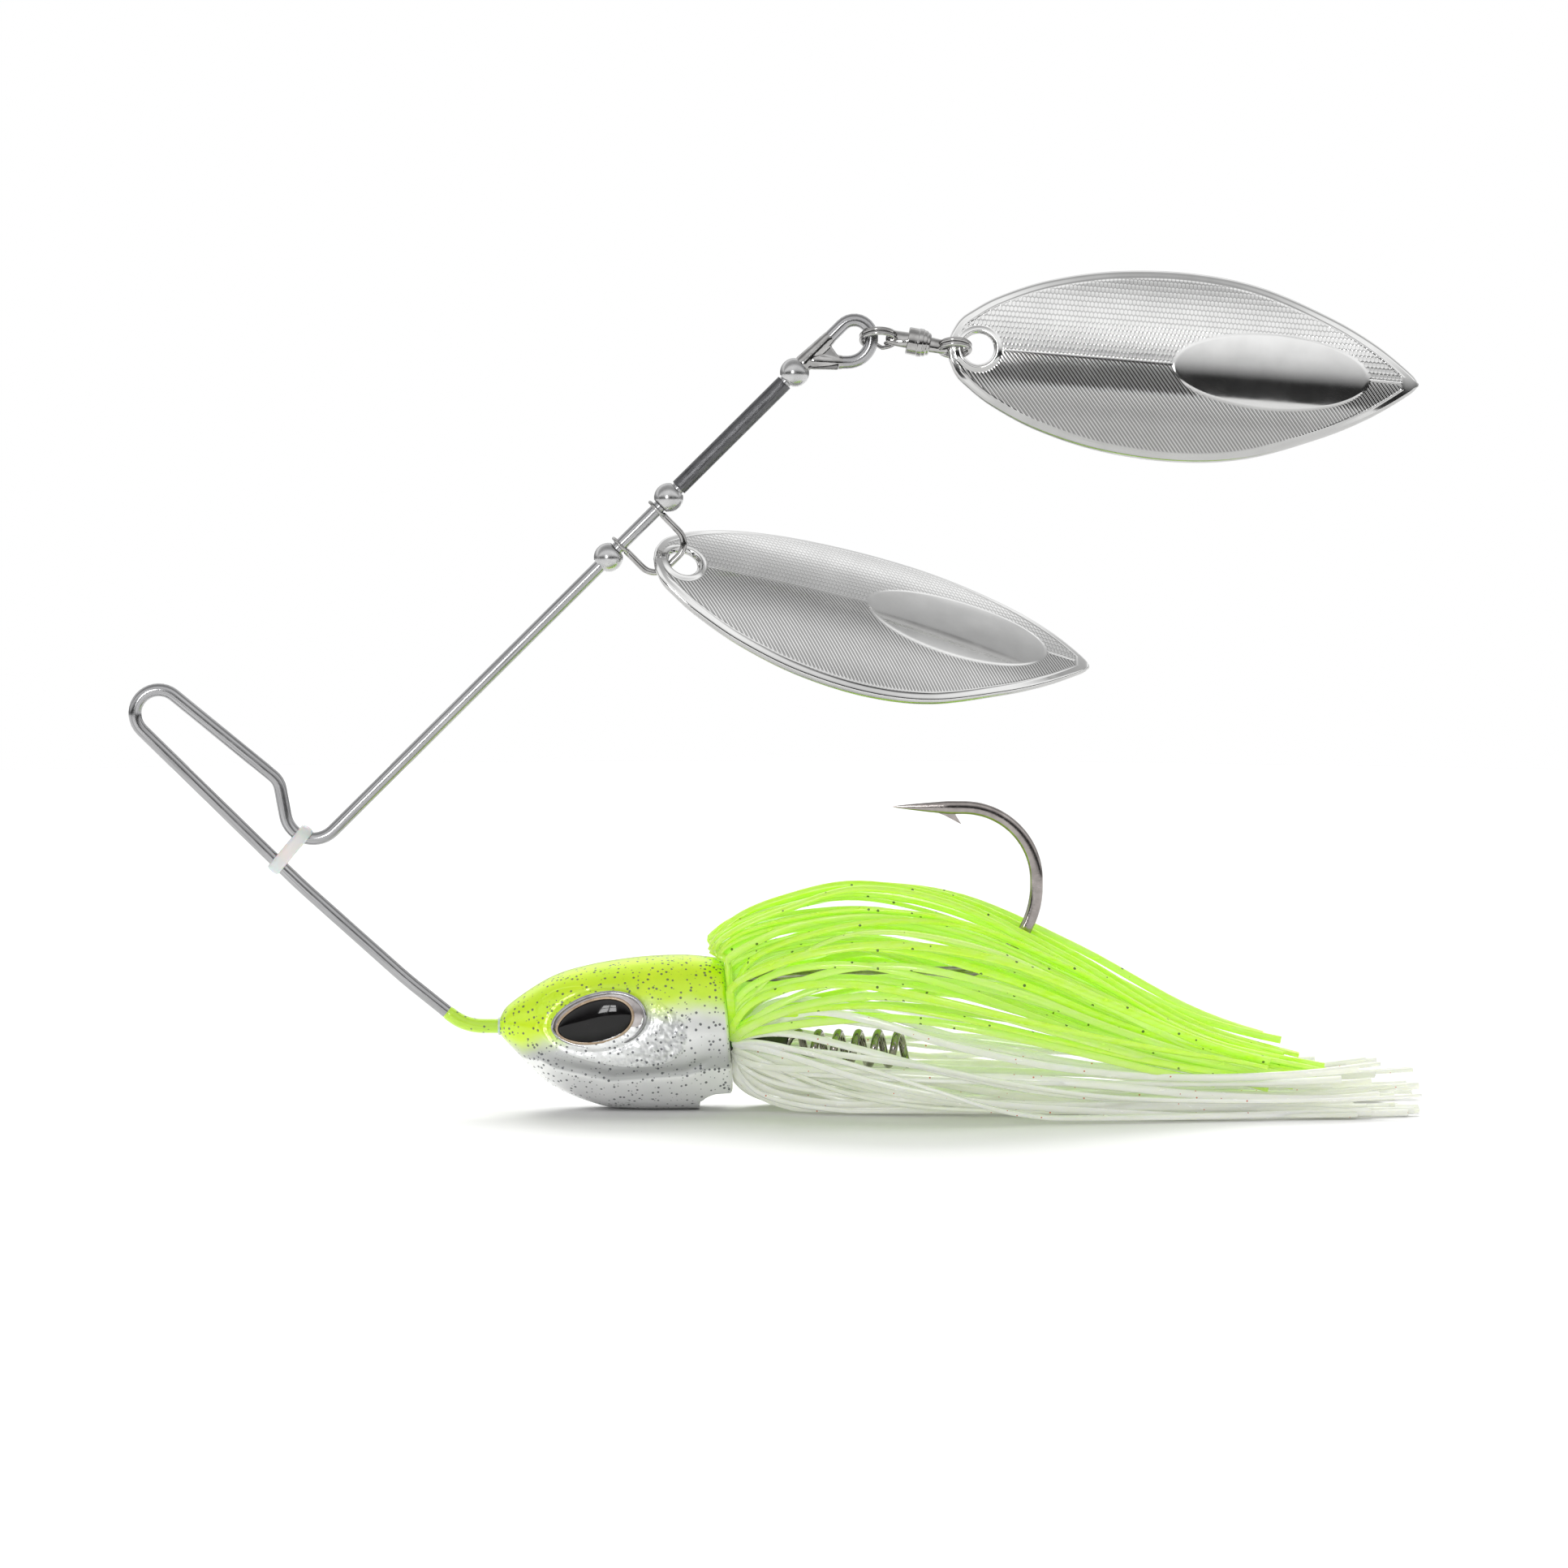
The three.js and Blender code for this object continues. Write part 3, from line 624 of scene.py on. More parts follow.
def rubber(name, pale, full, fleck_tint, fleck, see_through, painted_glow, rough):
    """Silicone strands: each has its own tone, with flecks and faint lengthwise changes of tint. A painted
    glow makes them emit their own colour, which lightens them and the shade between them.
    """
    look = Look(name, IOR=1.42, Subsurface_Weight=0.6, Subsurface_Scale=0.00025, Coat_Weight=0.5,
                Coat_Roughness=0.1, Transmission_Weight=see_through, Emission_Strength=painted_glow)
    look.set("Subsurface Radius", (1.0, 1.0, 0.7))
    at = look.place()
    tone = look.node("Attribute", out="Fac", attribute_name="tone")
    cloud = look.noise(look.place((0.25, 1, 1)), 2.2, 3)
    share = tone * 0.8 + look.clouded(cloud, -0.1, 0.3)
    color = look.mix(share, pale, full)
    cell, size, count = fleck
    spots = look.flecks(at, cell, size, count)
    color = look.mix(spots * 0.9, color, fleck_tint)
    look.set("Base Color", color)
    # painted glow: the strands emit their own colour, lightening their shaded sides and the gaps between them
    look.set("Emission Color", color)
    look.set("Roughness", look.clouded(cloud, rough * 0.8, rough * 1.25))
    return look.material


def thread():
    look = Look("green_thread", Metallic=0.55, Roughness=0.28)
    at = look.place()
    cloud = look.noise(at, 3.0, 3)
    look.set("Base Color", look.mix(look.span(cloud, 0.35, 0.65), (0.02, 0.42, 0.01), (0.20, 0.95, 0.06)))
    look.set("Normal", look.bump(look.noise(at, 14, 3), 0.3, 0.00003))
    return look.material


def glossy(name, color, shade, rough, metallic=0.0, coat=1.0):
    look = Look(name, Metallic=metallic, Coat_Weight=coat, Coat_Roughness=0.015, Specular_IOR_Level=coat / 2)
    cloud = look.noise(look.place(), 1.2, 4)
    look.set("Base Color", look.mix(look.clouded(cloud), shade, color))
    look.set("Roughness", look.clouded(cloud, rough, rough * 1.6))
    return look.material


WIRE = drawn_wire()
CHROME = embossed_chrome()
NICKEL = metal("bright_nickel", (0.58, 0.58, 0.58), (0.47, 0.47, 0.475), 0.22, scratch=0.06)
SWIVEL = metal("swivel_nickel", (0.52, 0.515, 0.51), (0.34, 0.335, 0.33), 0.10, grain=(1, 4, 1), scratch=0.12)
BLACK_NICKEL = metal("black_nickel", (0.42, 0.385, 0.37), (0.28, 0.255, 0.245), 0.13, grain=(0.3, 2, 1))
GUNMETAL = gunmetal()
BAND = silicone_band()
PAINT = head_paint()
SLEEVE = wire_paint()
THREAD = thread()
LIME = rubber("lime_silicone", (0.70, 0.86, 0.34), (0.62, 0.95, 0.05), (0.03, 0.08, 0.01),
              (0.75, 0.13, 0.22), 0.12, 0.15, 0.22)
PEARL = rubber("pearl_silicone", (0.80, 0.84, 0.68), (0.91, 0.92, 0.87), (0.62, 0.14, 0.06),
               (0.75, 0.08, 0.30), 0.12, 0.10, 0.22)
BEZEL = glossy("eye_bezel", (0.48, 0.48, 0.49), (0.28, 0.28, 0.29), 0.10, 1.0)
IRIS = glossy("eye_iris", (0.62, 0.58, 0.57), (0.46, 0.42, 0.42), 0.16, 0.5)
TAN = glossy("eye_ring", (0.50, 0.37, 0.24), (0.36, 0.25, 0.15), 0.2, 0.3)
PUPIL = glossy("eye_pupil", (0.010, 0.009, 0.010), (0.004, 0.004, 0.004), 0.06, coat=0.35)
STUB = metal("lead_stub", (0.10, 0.105, 0.09), (0.05, 0.05, 0.045), 0.4)


# ---------------------------------------------------------------- wire frame and band
def with_uv(obj, sides):
    """Lengthwise and round-the-wire coordinates for a tube's material."""
    layer = obj.data.uv_layers.new(name="UVMap")
    for loop in obj.data.loops:
        row, k = divmod(loop.vertex_index, sides)
        layer.data[loop.index].uv = (row * 0.35, abs(2 * k / sides - 1))


def wire_frame():
    points = resampled(frame_points(), 0.35)
    obj = piece("main_wire", tube(points, WIRE_D / 2, 28), WIRE, "frame", ["wire_frame"])
    with_uv(obj, 28)
    start = [p for p in points if PAINT_START_X < p[0] < HEAD_NOSE_X + 0.4 and p[2] < -20]
    piece("wire_paint_sleeve", tube(start, WIRE_D / 2 + 0.06, 28), SLEEVE, "frame")
    nose = moved(torus(WIRE_D / 2 + 0.1, 0.14), Matrix.Translation((HEAD_NOSE_X + 0.05, 0, HEAD_AXIS_Z))
                 @ Matrix.Rotation(pi / 2, 4, "Y"))
    piece("nose_glue_ring", nose, BAND, "frame")


def resampled(points, step):
    """The same line with points at even steps."""
    p = np.asarray(points, float)
    run = np.concatenate([[0], np.cumsum(np.linalg.norm(np.diff(p, axis=0), axis=1))])
    at = np.linspace(0, run[-1], max(2, round(run[-1] / step)) + 1)
    return np.column_stack([np.interp(at, run, p[:, k]) for k in range(3)])


def loop_ferrule():
    """The tapered joint that holds the loop's free end on the arm."""
    corners = [(56.6, 31.3), (56.9, 30.3), (59.6, 30.2), (59.8, 31.2), (59.0, 32.3), (57.8, 32.7)]
    web = skin([[(x, y * (1 - 0.25 * (z - 30.2)), z) for x, z in corners] for y in (-0.7, 0.7)])
    arm_part = tube([tuple(on_arm(s)) for s in (63.0, 64.5, 66.2)], lambda s: 0.82 - 0.2 * s, 20)
    end_part = tube([(57.5, 0, 30.98), (58.6, 0, 30.91), (59.9, 0, 30.85)], lambda s: 0.8 - 0.18 * s, 20)
    shape = melted([web, arm_part, end_part], 0.06, 7)
    piece("brazed_joint", shape, SWIVEL, "frame", ["loop_ferrule"], sharp=180)


def keeper_band():
    """Silicone ring round the lower leg and the knee."""
    half, r, wall, width = 1.35, 0.97, 0.5, 1.15
    line = []
    for side in (1, -1):
        for a in np.radians(np.linspace(-90, 90, 17)):
            line.append((side * (half + r * cos(a)), side * r * sin(a)))
    line = np.array(line)
    ahead = np.roll(line, -1, 0) - np.roll(line, 1, 0)
    out = unit(np.column_stack([ahead[:, 1], -ahead[:, 0]]))
    rings = []
    for at, o in zip(line, out):
        ring = []
        for b in circle(20):
            c, s = cos(b), sin(b)
            thick = copysign(abs(c) ** 0.75, c) * wall / 2
            wide = copysign(abs(s) ** 0.75, s) * width / 2
            ring.append((at[0] + o[0] * thick, at[1] + o[1] * thick, wide))
        rings.append(ring)
    slope = radians(50)
    long = Vector((cos(slope), 0, sin(slope)))
    y = Vector((0, 1, 0))
    place = Matrix((long, y, long.cross(y))).transposed().to_4x4()
    place.translation = (11.5, 0, -11.95)
    piece("silicone_ring", moved(skin(rings, closed=True), place), BAND, "frame",
          ["line_tie_ring"], sharp=180)


# ---------------------------------------------------------------- head
head_top = outline([(29.8, -27.0), (30.8, -25.6), (34.3, -23.3), (37.7, -22.2), (42, -21.5),
                    (46, -21.3), (48.9, -21.5), (50.2, -21.7)])
head_bottom = outline([(29.8, -28.2), (30.8, -29.3), (34.3, -32.7), (38.6, -34.5), (42, FLOOR_Z),
                       (46, FLOOR_Z), (50.4, FLOOR_Z)])
head_side = outline([(29.8, 0.62), (30.8, 1.9), (34.3, 3.9), (38.6, 5.0), (42, 5.4), (46, 5.3), (50.4, 4.4)])
head_notch = outline([(40, -60), (46.9, -42), (47.1, -34.8), (47.5, -33.9), (48.3, -33.35), (49.2, -33.2),
                      (50.6, -33.2)])
NOTCH_X = 46.9


def head_rings(rows, sides):
    rings = []
    for i in range(rows + 1):
        u = (i / rows) ** 1.35
        x = HEAD_NOSE_X + (HEAD_REAR_X - HEAD_NOSE_X) * u
        rings.append(head_section(x, sides))
    edge = 0.7
    for a in np.radians([20, 45, 70, 90]):
        shrink = edge * (1 - cos(a))
        ring = head_section(HEAD_REAR_X, sides)
        middle = np.array((0, 0, -28))
        spoke = (ring - middle) * (0, 1, 1)
        size = np.linalg.norm(spoke, axis=1, keepdims=True)
        ring = ring - spoke / size * shrink
        ring[:, 0] += edge * (sin(a)) * 0.5
        rings.append(ring)
    rings = np.array(rings)
    lean = np.clip((rings[:, :, 0] - 45) / 4.7, 0, 1)
    rings[:, :, 0] += 0.07 * (HEAD_AXIS_Z - rings[:, :, 2]) * lean
    return rings


def head_section(x, sides):
    top, bottom, half = head_top(x), head_bottom(x), head_side(x)
    turn = (np.arange(sides) + 0.5) * 2 * pi / sides
    c, s = np.cos(turn), np.sin(turn)
    c, s = np.sign(c) * abs(c) ** (2 / 2.2), np.sign(s) * abs(s) ** (2 / 2.2)
    z = (top + bottom) / 2 + (top - bottom) / 2 * s
    if x > NOTCH_X:
        z = np.maximum(z, head_notch(x))
    return np.column_stack([np.full(sides, x), half * c, z])


def eye_place(side):
    y = side * (float(head_side(EYE["x"])) - 0.25)
    turn = Matrix.Rotation(side * radians(EYE["turn"]), 4, "Z")
    tilt = Matrix.Rotation(-radians(EYE["tilt"]), 4, "Y")
    return Matrix.Translation((EYE["x"], y, EYE["z"])) @ turn @ tilt


def head():
    rings = head_rings(170, 300)
    along = np.gradient(rings, axis=0)
    around = np.roll(rings, -1, 1) - np.roll(rings, 1, 1)
    out = unit(np.cross(around, along))
    x, z = rings[:, :, 0], rings[:, :, 2]
    lift = np.zeros(x.shape)
    patch = np.clip((1 - cheek_size(x, z)) / 0.06, 0, 1)
    painted_foil_shade = np.zeros(x.shape)
    # hammered foil: raised crinkles, and a noise mask of painted crinkle shade that greys the foil towards
    # its rear
    for i, k in np.argwhere(patch > 0):
        at = Vector(rings[i, k])
        rough = noise.noise(at * 2.4) + 0.6 * noise.noise(at * 5.0)
        rear = min(max((at.x - 38) / 6, 0.25), 1)
        lift[i, k] += patch[i, k] * (0.05 + 0.12 * rear * rough)
        painted_crinkle_shade = 0.5 + 1.1 * noise.noise(at * 4.2 + Vector((9, 2, 4)))
        painted_foil_shade[i, k] = patch[i, k] * rear * min(max(painted_crinkle_shade, 0), 1)
    # the jaw line under the cheek
    jaw = np.interp(x, [33.5, 34.8, 39.8, 46.2, 48.5], [-30.3, -31.0, -32.0, -31.5, -30.6])
    fade = np.clip((x - 33.5) / 2, 0, 1) * np.clip((48.6 - x) / 1.5, 0, 1)
    lift -= 0.20 * fade * np.exp(-((z - jaw - 0.45) / 0.42) ** 2)
    # the hollow round each eye
    for side in (-1, 1):
        local = np.c_[rings.reshape(-1, 3), np.ones(rings.size // 3)] @ np.array(eye_place(side).inverted()).T
        u, w = local[:, 0] / EYE["long"], local[:, 2] / EYE["high"]
        near = np.exp(-((np.hypot(u, w) - 1.08) / 0.07) ** 2).reshape(x.shape)
        lift -= 0.14 * near * (np.sign(rings[:, :, 1]) == side)
    rings = rings + out * lift[:, :, None]
    piece("painted_head", skin(rings), PAINT, "frame", ["head"], sharp=50, tone=painted_foil_shade.ravel())
    neck = lathe(eased([(49.5, 0), (49.5, 1.6), (53.0, 1.45), (55.2, 1.05), (55.2, 0)], 0.25), 40)
    piece("neck_stub", moved(neck, Matrix.Translation((0, 0, NECK_Z - 0.3))), STUB, "frame")


def egg(scale, steps=96):
    """The eye's outline in its own plane: blunt at the rear, pointed at the front."""
    a = circle(steps)
    x = EYE["long"] * scale * np.cos(a)
    return np.column_stack([x, EYE["high"] * scale * np.sin(a) * (1 + 0.13 * np.cos(a))])


def eye_dome(outline_xz, side, low, high, rows=10):
    """A shallow dome over an outline, with a short skirt below its edge."""
    centre = outline_xz.mean(0)
    rings = [[(p[0], side * (low - 0.5), p[1]) for p in outline_xz]]
    for i in range(rows + 1):
        share = cos(pi / 2 * i / (rows + 0.4))
        rise = side * (low + (high - low) * sin(pi / 2 * i / (rows + 0.4)))
        rings.append([(*(centre[:1] + (p[:1] - centre[:1]) * share), rise,
                       *(centre[1:] + (p[1:] - centre[1:]) * share)) for p in outline_xz])
    return skin(rings)


def band_round(outline_xz, side, profile):
    """A rim along an outline. profile points are (inwards, outwards from the head)."""
    ahead = np.roll(outline_xz, -1, 0) - np.roll(outline_xz, 1, 0)
    inward = unit(np.column_stack([-ahead[:, 1], ahead[:, 0]]))
    rings = [[(p[0] + n[0] * i, side * o, p[1] + n[1] * i) for i, o in profile]
             for p, n in zip(outline_xz, inward)]
    return skin(rings, closed=True)


def eye(side, name):
    place = eye_place(side)
    rim = [(0, -0.75), (0, 0.02), (0.05, 0.16), (0.16, 0.24), (0.28, 0.2), (0.36, 0.06), (0.38, -0.75)]
    bezel = moved(band_round(egg(1.0), side, eased(rim, 0.05)), place)
    piece(f"eye_bezel_{name}", bezel, BEZEL, "frame", [f"eye_disc_{name}"], sharp=70)
    iris = moved(eye_dome(egg(0.93), side, -0.12, 0.34), place)
    piece(f"eye_iris_{name}", iris, IRIS, "frame")
    lean = radians(5)
    spin = np.array(((cos(lean), sin(lean)), (-sin(lean), cos(lean))))
    pupil_line = egg(1.0) * (0.775, 0.72) @ spin + (-0.34, 0.0)
    ring = [(0, -0.2), (0, 0.27), (0.1, 0.33), (0.22, 0.33), (0.22, -0.2)]
    outer = egg(1.0) * (0.825, 0.80) @ spin + (-0.34, 0.0)
    rim = moved(band_round(outer, side, eased(ring, 0.03)), place)
    piece(f"eye_ring_{name}", rim, TAN, "frame")
    pupil = moved(eye_dome(pupil_line, side, 0.2, 0.62), place)
    piece(f"eye_pupil_{name}", pupil, PUPIL, "frame",
          [f"eye_dome_{name}"])


# ---------------------------------------------------------------- hook and trailer keeper
def hook():
    points = resampled(bent([
        (HOOK_EYE_X, HEAD_AXIS_Z + 1.3),
        (HOOK_EYE_X, -23.2, 1.4),
        (HOOK_REAR_X, -22.8, 7.6),
        (HOOK_REAR_X, HOOK_TOP_Z, 6.4),
        (69, HOOK_TOP_Z + 0.02, 200),
        (64.4, HOOK_TOP_Z + 0.1),
    ], 4), 0.3)
    total = np.linalg.norm(np.diff(points, axis=0), axis=1).sum()
    taper = 4.9 / total

    def size(share):
        left = (1 - share) / taper
        return HOOK_D / 2 * (min(1.0, left) ** 0.8 * 0.96 + 0.04)
    shank = tube(points, size, 28, round_ends=False, across=0.86, square=3.0)
    cut = [(67.3, -8.3), (69.0, -8.95), (70.5, -9.75), (69.95, -8.9), (70.4, -8.4), (69, -8.2)]
    barb = skin([[(x, y * (1 + (z + 8.3) * 0.4), z) for x, z in cut] for y in (-0.34, 0.34)])
    ring = moved(torus(1.3, HOOK_D / 2), Matrix.Translation((HOOK_EYE_X, 0, HEAD_AXIS_Z))
                 @ Matrix.Rotation(pi / 2, 4, "Y"))
    piece("hook_wire", merged(shank, barb, ring), BLACK_NICKEL, "frame", ["hook"], sharp=35)


def trailer_keeper():
    k = KEEPER
    points = [(51.6, 0, k["z"]), (k["x"] - 1.6, 0, k["z"]), (k["x"] - 0.7, 0, k["z"] + 0.75 * k["r"])]
    for i in range(round(k["turns"] * 28) + 1):
        a = 2 * pi * i / 28
        points.append((k["x"] + k["pitch"] * a / (2 * pi), k["r"] * sin(a), k["z"] + k["r"] * cos(a)))
    line = smooth(points, 2)
    piece("keeper_coil", tube(line, k["d"] / 2, 16), BLACK_NICKEL, "frame",
          ["trailer_keeper"])


# ---------------------------------------------------------------- skirt
# Side views of strands as (x, z) at ten stations from the tie to the end, top strand first.
LIME_GUIDES = [
    [(50.8, -27.6), (49.9, -24.6), (48.9, -20.9), (50.2, -18.7), (54.6, -16.8), (61.4, -15.2), (70, -16.6),
     (80.2, -21.6), (91.6, -28.0), (104.5, -31.4)],
    [(50.9, -27.8), (50.3, -25.2), (50.2, -22.4), (52.2, -20.4), (57.2, -18.8), (64.6, -18.6), (73.5, -20.8),
     (83, -25.2), (93, -29.5), (103.5, -32.0)],
    [(51.0, -28.1), (50.9, -25.9), (51.9, -23.7), (54.9, -21.8), (60.4, -20.5), (67.3, -21.2), (76, -23.8),
     (85, -27.5), (94, -30.5), (101.5, -32.3)],
    [(51.1, -28.4), (51.8, -27.0), (53.8, -25.4), (57.8, -24.1), (63.1, -23.6), (69.9, -24.5), (78, -26.8),
     (86.5, -29.4), (95, -31.4), (100, -32.6)],
    [(51.2, -28.7), (52.6, -28.0), (55.2, -27.1), (59.5, -26.3), (64.8, -26.0), (71.5, -26.8), (79.5, -28.4),
     (88, -30.4), (94, -31.8), (97, -32.8)]]
PEARL_GUIDES = [
    [(51.2, -28.6), (52.3, -26.8), (54.3, -25.1), (57.8, -25.0), (62.8, -26.2), (69, -27.9), (78, -29.7),
     (88, -31.1), (98, -31.7), (108, -31.0)],
    [(51.2, -28.9), (53.0, -28.1), (56.0, -27.6), (60.0, -27.8), (65.8, -28.5), (72, -29.5), (81, -30.8),
     (91, -31.9), (101, -32.4), (110, -32.0)],
    [(51.2, -29.3), (53.5, -29.4), (57.3, -30.0), (62.6, -30.8), (68.8, -31.6), (76, -32.3), (84, -32.9),
     (93, -33.3), (103, -33.5), (112.3, -33.0)],
    [(51.1, -29.7), (52.6, -30.7), (55.8, -31.9), (60.5, -32.8), (66.8, -33.5), (74, -34.0), (83, -34.2),
     (93, -34.3), (103, -34.3), (112.6, -33.9)],
    [(50.9, -30.2), (51.5, -32.2), (53.3, -33.6), (57.5, -34.3), (63.8, -34.6), (72, -34.7), (82, -34.7),
     (92, -34.7), (102, -34.7), (112, -34.6)]]
LIME_SPREAD = [2.0, 3.5, 4.6, 5.8, 7.2, 8.4, 8.6, 7.4, 5.6, 4.2]
PEARL_SPREAD = [2.0, 3.2, 4.9, 7.2, 8.8, 9.6, 9.8, 9.2, 8.2, 7.0]


def strand_line(guides, spread, v, drift, lateral, messy, cut):
    """A strand's centre line. v picks the guides, 0 the top one, and drift changes v on the way."""
    g = np.array(guides, float)
    stations = np.arange(g.shape[1])
    s = stations / stations[-1]
    at = np.clip(v + drift * s * s * (3 - 2 * s), 0, 1) * (len(g) - 1)
    low = np.minimum(at.astype(int), len(g) - 2)
    share = (at - low)[:, None]
    xz = g[low, stations] * (1 - share) + g[low + 1, stations] * share
    loose = np.clip(stations / 3, 0, 1)
    xz[:4, 0] -= (0.8, 0.8, 0.6, 0.3)

    def sway(size):
        return loose * sum(size / k * rng.gauss(0, 1) * np.sin(pi * (k * s + rng.random() * 2))
                           for k in (1.3, 2.7, 4.1))
    y = lateral * np.array(spread) + sway(messy * 1.2)
    xz += np.column_stack([sway(messy * 0.6), sway(messy)])
    line = smooth(np.column_stack([xz[:, 0], y, xz[:, 1]]), 7)
    share = shares(line)
    return line[share <= cut]


def clear_of_head(line):
    """The same line, kept behind the head's rear face where it is lower than the head's top."""
    face = HEAD_REAR_X + 0.07 * (HEAD_AXIS_Z - line[:, 2]) + 0.72
    hidden = np.clip((-20.6 - line[:, 2]) / 0.8, 0, 1)
    line[:, 0] = np.maximum(line[:, 0], face * hidden + 48.4 * (1 - hidden))
    return line


def ribbon(line, wide, thick, roll):
    """A flat strand with eased edges and square ends. roll is (start, change) in radians."""
    along, side, up = frames(line)
    away = np.column_stack([np.zeros(len(line)), line[:, 1], (line[:, 2] + 29) * 0.6])
    away = unit(away - along * np.sum(away * along, axis=1)[:, None])
    across = np.cross(along, away)
    a = roll[0] + roll[1] * np.linspace(0, 1, len(line))
    c, s = np.cos(a)[:, None], np.sin(a)[:, None]
    across, away = across * c + away * s, away * c - across * s
    w, t, e = wide / 2, thick / 2, 0.09
    section = [(w, t - e), (w - e, t), (e - w, t), (-w, t - e),
               (-w, e - t), (e - w, -t), (w - e, -t), (w, e - t)]
    return np.array([[p + b * x + o * y for x, y in section] for p, b, o in zip(line, across, away)])


def skirt_group(name, guides, spread, count, material, node, levels, crowd):
    """Strands of one colour. crowd above 1 gathers them at the first guide, below 1 at the last."""
    shapes, tones = [], []
    for i in range(count):
        v = ((i + rng.random()) / count) ** crowd
        q = levels[0] + (levels[1] - levels[0]) * v
        skin_share = rng.choice([1.0, 1.0, 0.8, 0.5])
        lateral = (1 if i % 2 else -1) * (1 - abs(q) ** 2.4) ** (1 / 2.4) * skin_share + rng.gauss(0, 0.06)
        line = strand_line(guides, spread, v, rng.gauss(0, 0.40), lateral, 0.72, rng.uniform(0.9, 1.0))
        wide, thick = rng.uniform(0.56, 0.72), rng.uniform(0.30, 0.38)
        line[:, 2] = np.maximum(line[:, 2], FLOOR_Z + thick / 2 + 0.14 + rng.uniform(0, 0.25))
        rings = ribbon(clear_of_head(line), wide, thick, (rng.gauss(0, 0.4), rng.gauss(0, 0.8)))
        rings[:, :, 2] = np.maximum(rings[:, :, 2], FLOOR_Z + 0.02)
        shape = skin(rings)
        shapes.append(shape)
        tones += [min(1.0, rng.betavariate(2.2, 0.7))] * len(shape[0])
    piece(name, merged(*shapes), material, "frame", [node], sharp=60, tone=tones)


def skirt_collar():
    """Tying thread wound round the strands behind the head."""
    turns, start, pitch, r, d = 4, 50.5, 0.2, 1.7, 0.24
    line = []
    for i in range(turns * 36 + 1):
        a = 2 * pi * i / 36
        wave = 0.07 * sin(3 * a + 1) + 0.05 * sin(7.3 * a)
        line.append((start + pitch * a / (2 * pi) + 0.03 * sin(5 * a), (r + wave) * sin(a),
                     NECK_Z + (r + wave) * cos(a)))
    over = [(start + 1.1 - 1.2 * s, (r + 0.16) * sin(2.1 + 4.2 * s), NECK_Z + (r + 0.16) * cos(2.1 + 4.2 * s))
            for s in np.linspace(0, 1, 40)]
    core = lathe(eased([(start - 0.3, 0), (start - 0.3, r - 0.1), (start + 1.2, r - 0.1), (start + 1.2, 0)],
                       0.2), 48)
    core = moved(core, Matrix.Translation((0, 0, NECK_Z)))
    shape = merged(tube(line, d / 2, 12), tube(over, d / 2, 12), core)
    piece("thread_wrap", shape, THREAD, "frame", ["skirt_collar"])


def skirt():
    skirt_collar()
    skirt_group("lime_strands", LIME_GUIDES, LIME_SPREAD, 54, LIME, "skirt_upper",
                (0.97, -0.1), 1.35)
    skirt_group("pearl_strands", PEARL_GUIDES, PEARL_SPREAD, 50, PEARL, "skirt_lower",
                (0.25, -0.93), 0.6)


# ---------------------------------------------------------------- beads, tube, clevis
def bead_shape(bore):
    edge = acos((bore + 0.14) / BEAD_R)
    profile = [(BEAD_R * sin(a), BEAD_R * cos(a)) for a in np.linspace(-edge, edge, 26)]
    x = BEAD_R * sin(edge)
    profile += [(x - 0.1, bore + 0.03), (x - 0.22, bore), (0.22 - x, bore), (0.1 - x, bore + 0.03)]
    return lathe(profile, 56)


def string_arm():
    for name, s in BEADS.items():
        body = "frame" if name == "bead_low" else name
        shape = lay_on_arm(bead_shape(WIRE_D / 2 + 0.05), s)
        piece(f"{name}_ball", shape, NICKEL, body, [name],
              sharp=60)
    reach = BEAD_R - 0.03
    x0, x1 = BEADS["bead_mid"] + reach, BEADS["bead_top"] - reach
    inner = WIRE_D / 2 + 0.04
    middle = [(x, TUBE_R) for x in np.linspace(x0, x1, 30)]
    shape = lathe(eased([(x0, inner), *middle, (x1, inner)], 0.05, 2), 40)
    obj = piece("spacer_sleeve", lay_on_arm(shape, 0), GUNMETAL, "spacer_tube",
                ["spacer_tube"])
    with_uv(obj, 40)


def clevis():
    c = CLEVIS
    inner = c["eyelet_r"] - 0.2
    corners = [on_arm(c["low"], inner), on_arm(c["low"], c["reach"]), on_arm(c["high"], c["reach"]),
               on_arm(c["high"], inner)]
    line = resampled(bent([(p.x, p.z, 1.55) for p in corners], 6), 0.12)
    stirrup = tube(line, c["d"] / 2 + 0.02, 20, across=1.15)
    flat = Matrix.Rotation(pi / 2, 4, "Y")
    eyelets = [lay_on_arm(moved(torus(0.83, 0.17, 0.85), flat), s) for s in (c["low"], c["high"])]
    shape = melted([stirrup, *eyelets], 0.045, 1)
    piece("clevis_wire", shape, SWIVEL, "clevis", ["clevis"], sharp=180)


# ---------------------------------------------------------------- rings and swivel
front_eye = Vector((FRONT_RING["x"] + FRONT_RING["r"], 0, FRONT_RING["z"]))
swivel_dir = Vector((cos(radians(SWIVEL_SLOPE)), 0, sin(radians(SWIVEL_SLOPE))))
rear_eye = front_eye + swivel_dir * SWIVEL_EYES_APART
rear_ring_centre = rear_eye + Vector((REAR_RING["r"], 0, -RING_HANG))
RING_TURN = Matrix.Rotation(radians(RING_TILT), 4, "X")
SWIVEL_PLACE = Matrix.Translation(front_eye) @ Matrix.Rotation(-radians(SWIVEL_SLOPE), 4, "Y") @ RING_TURN


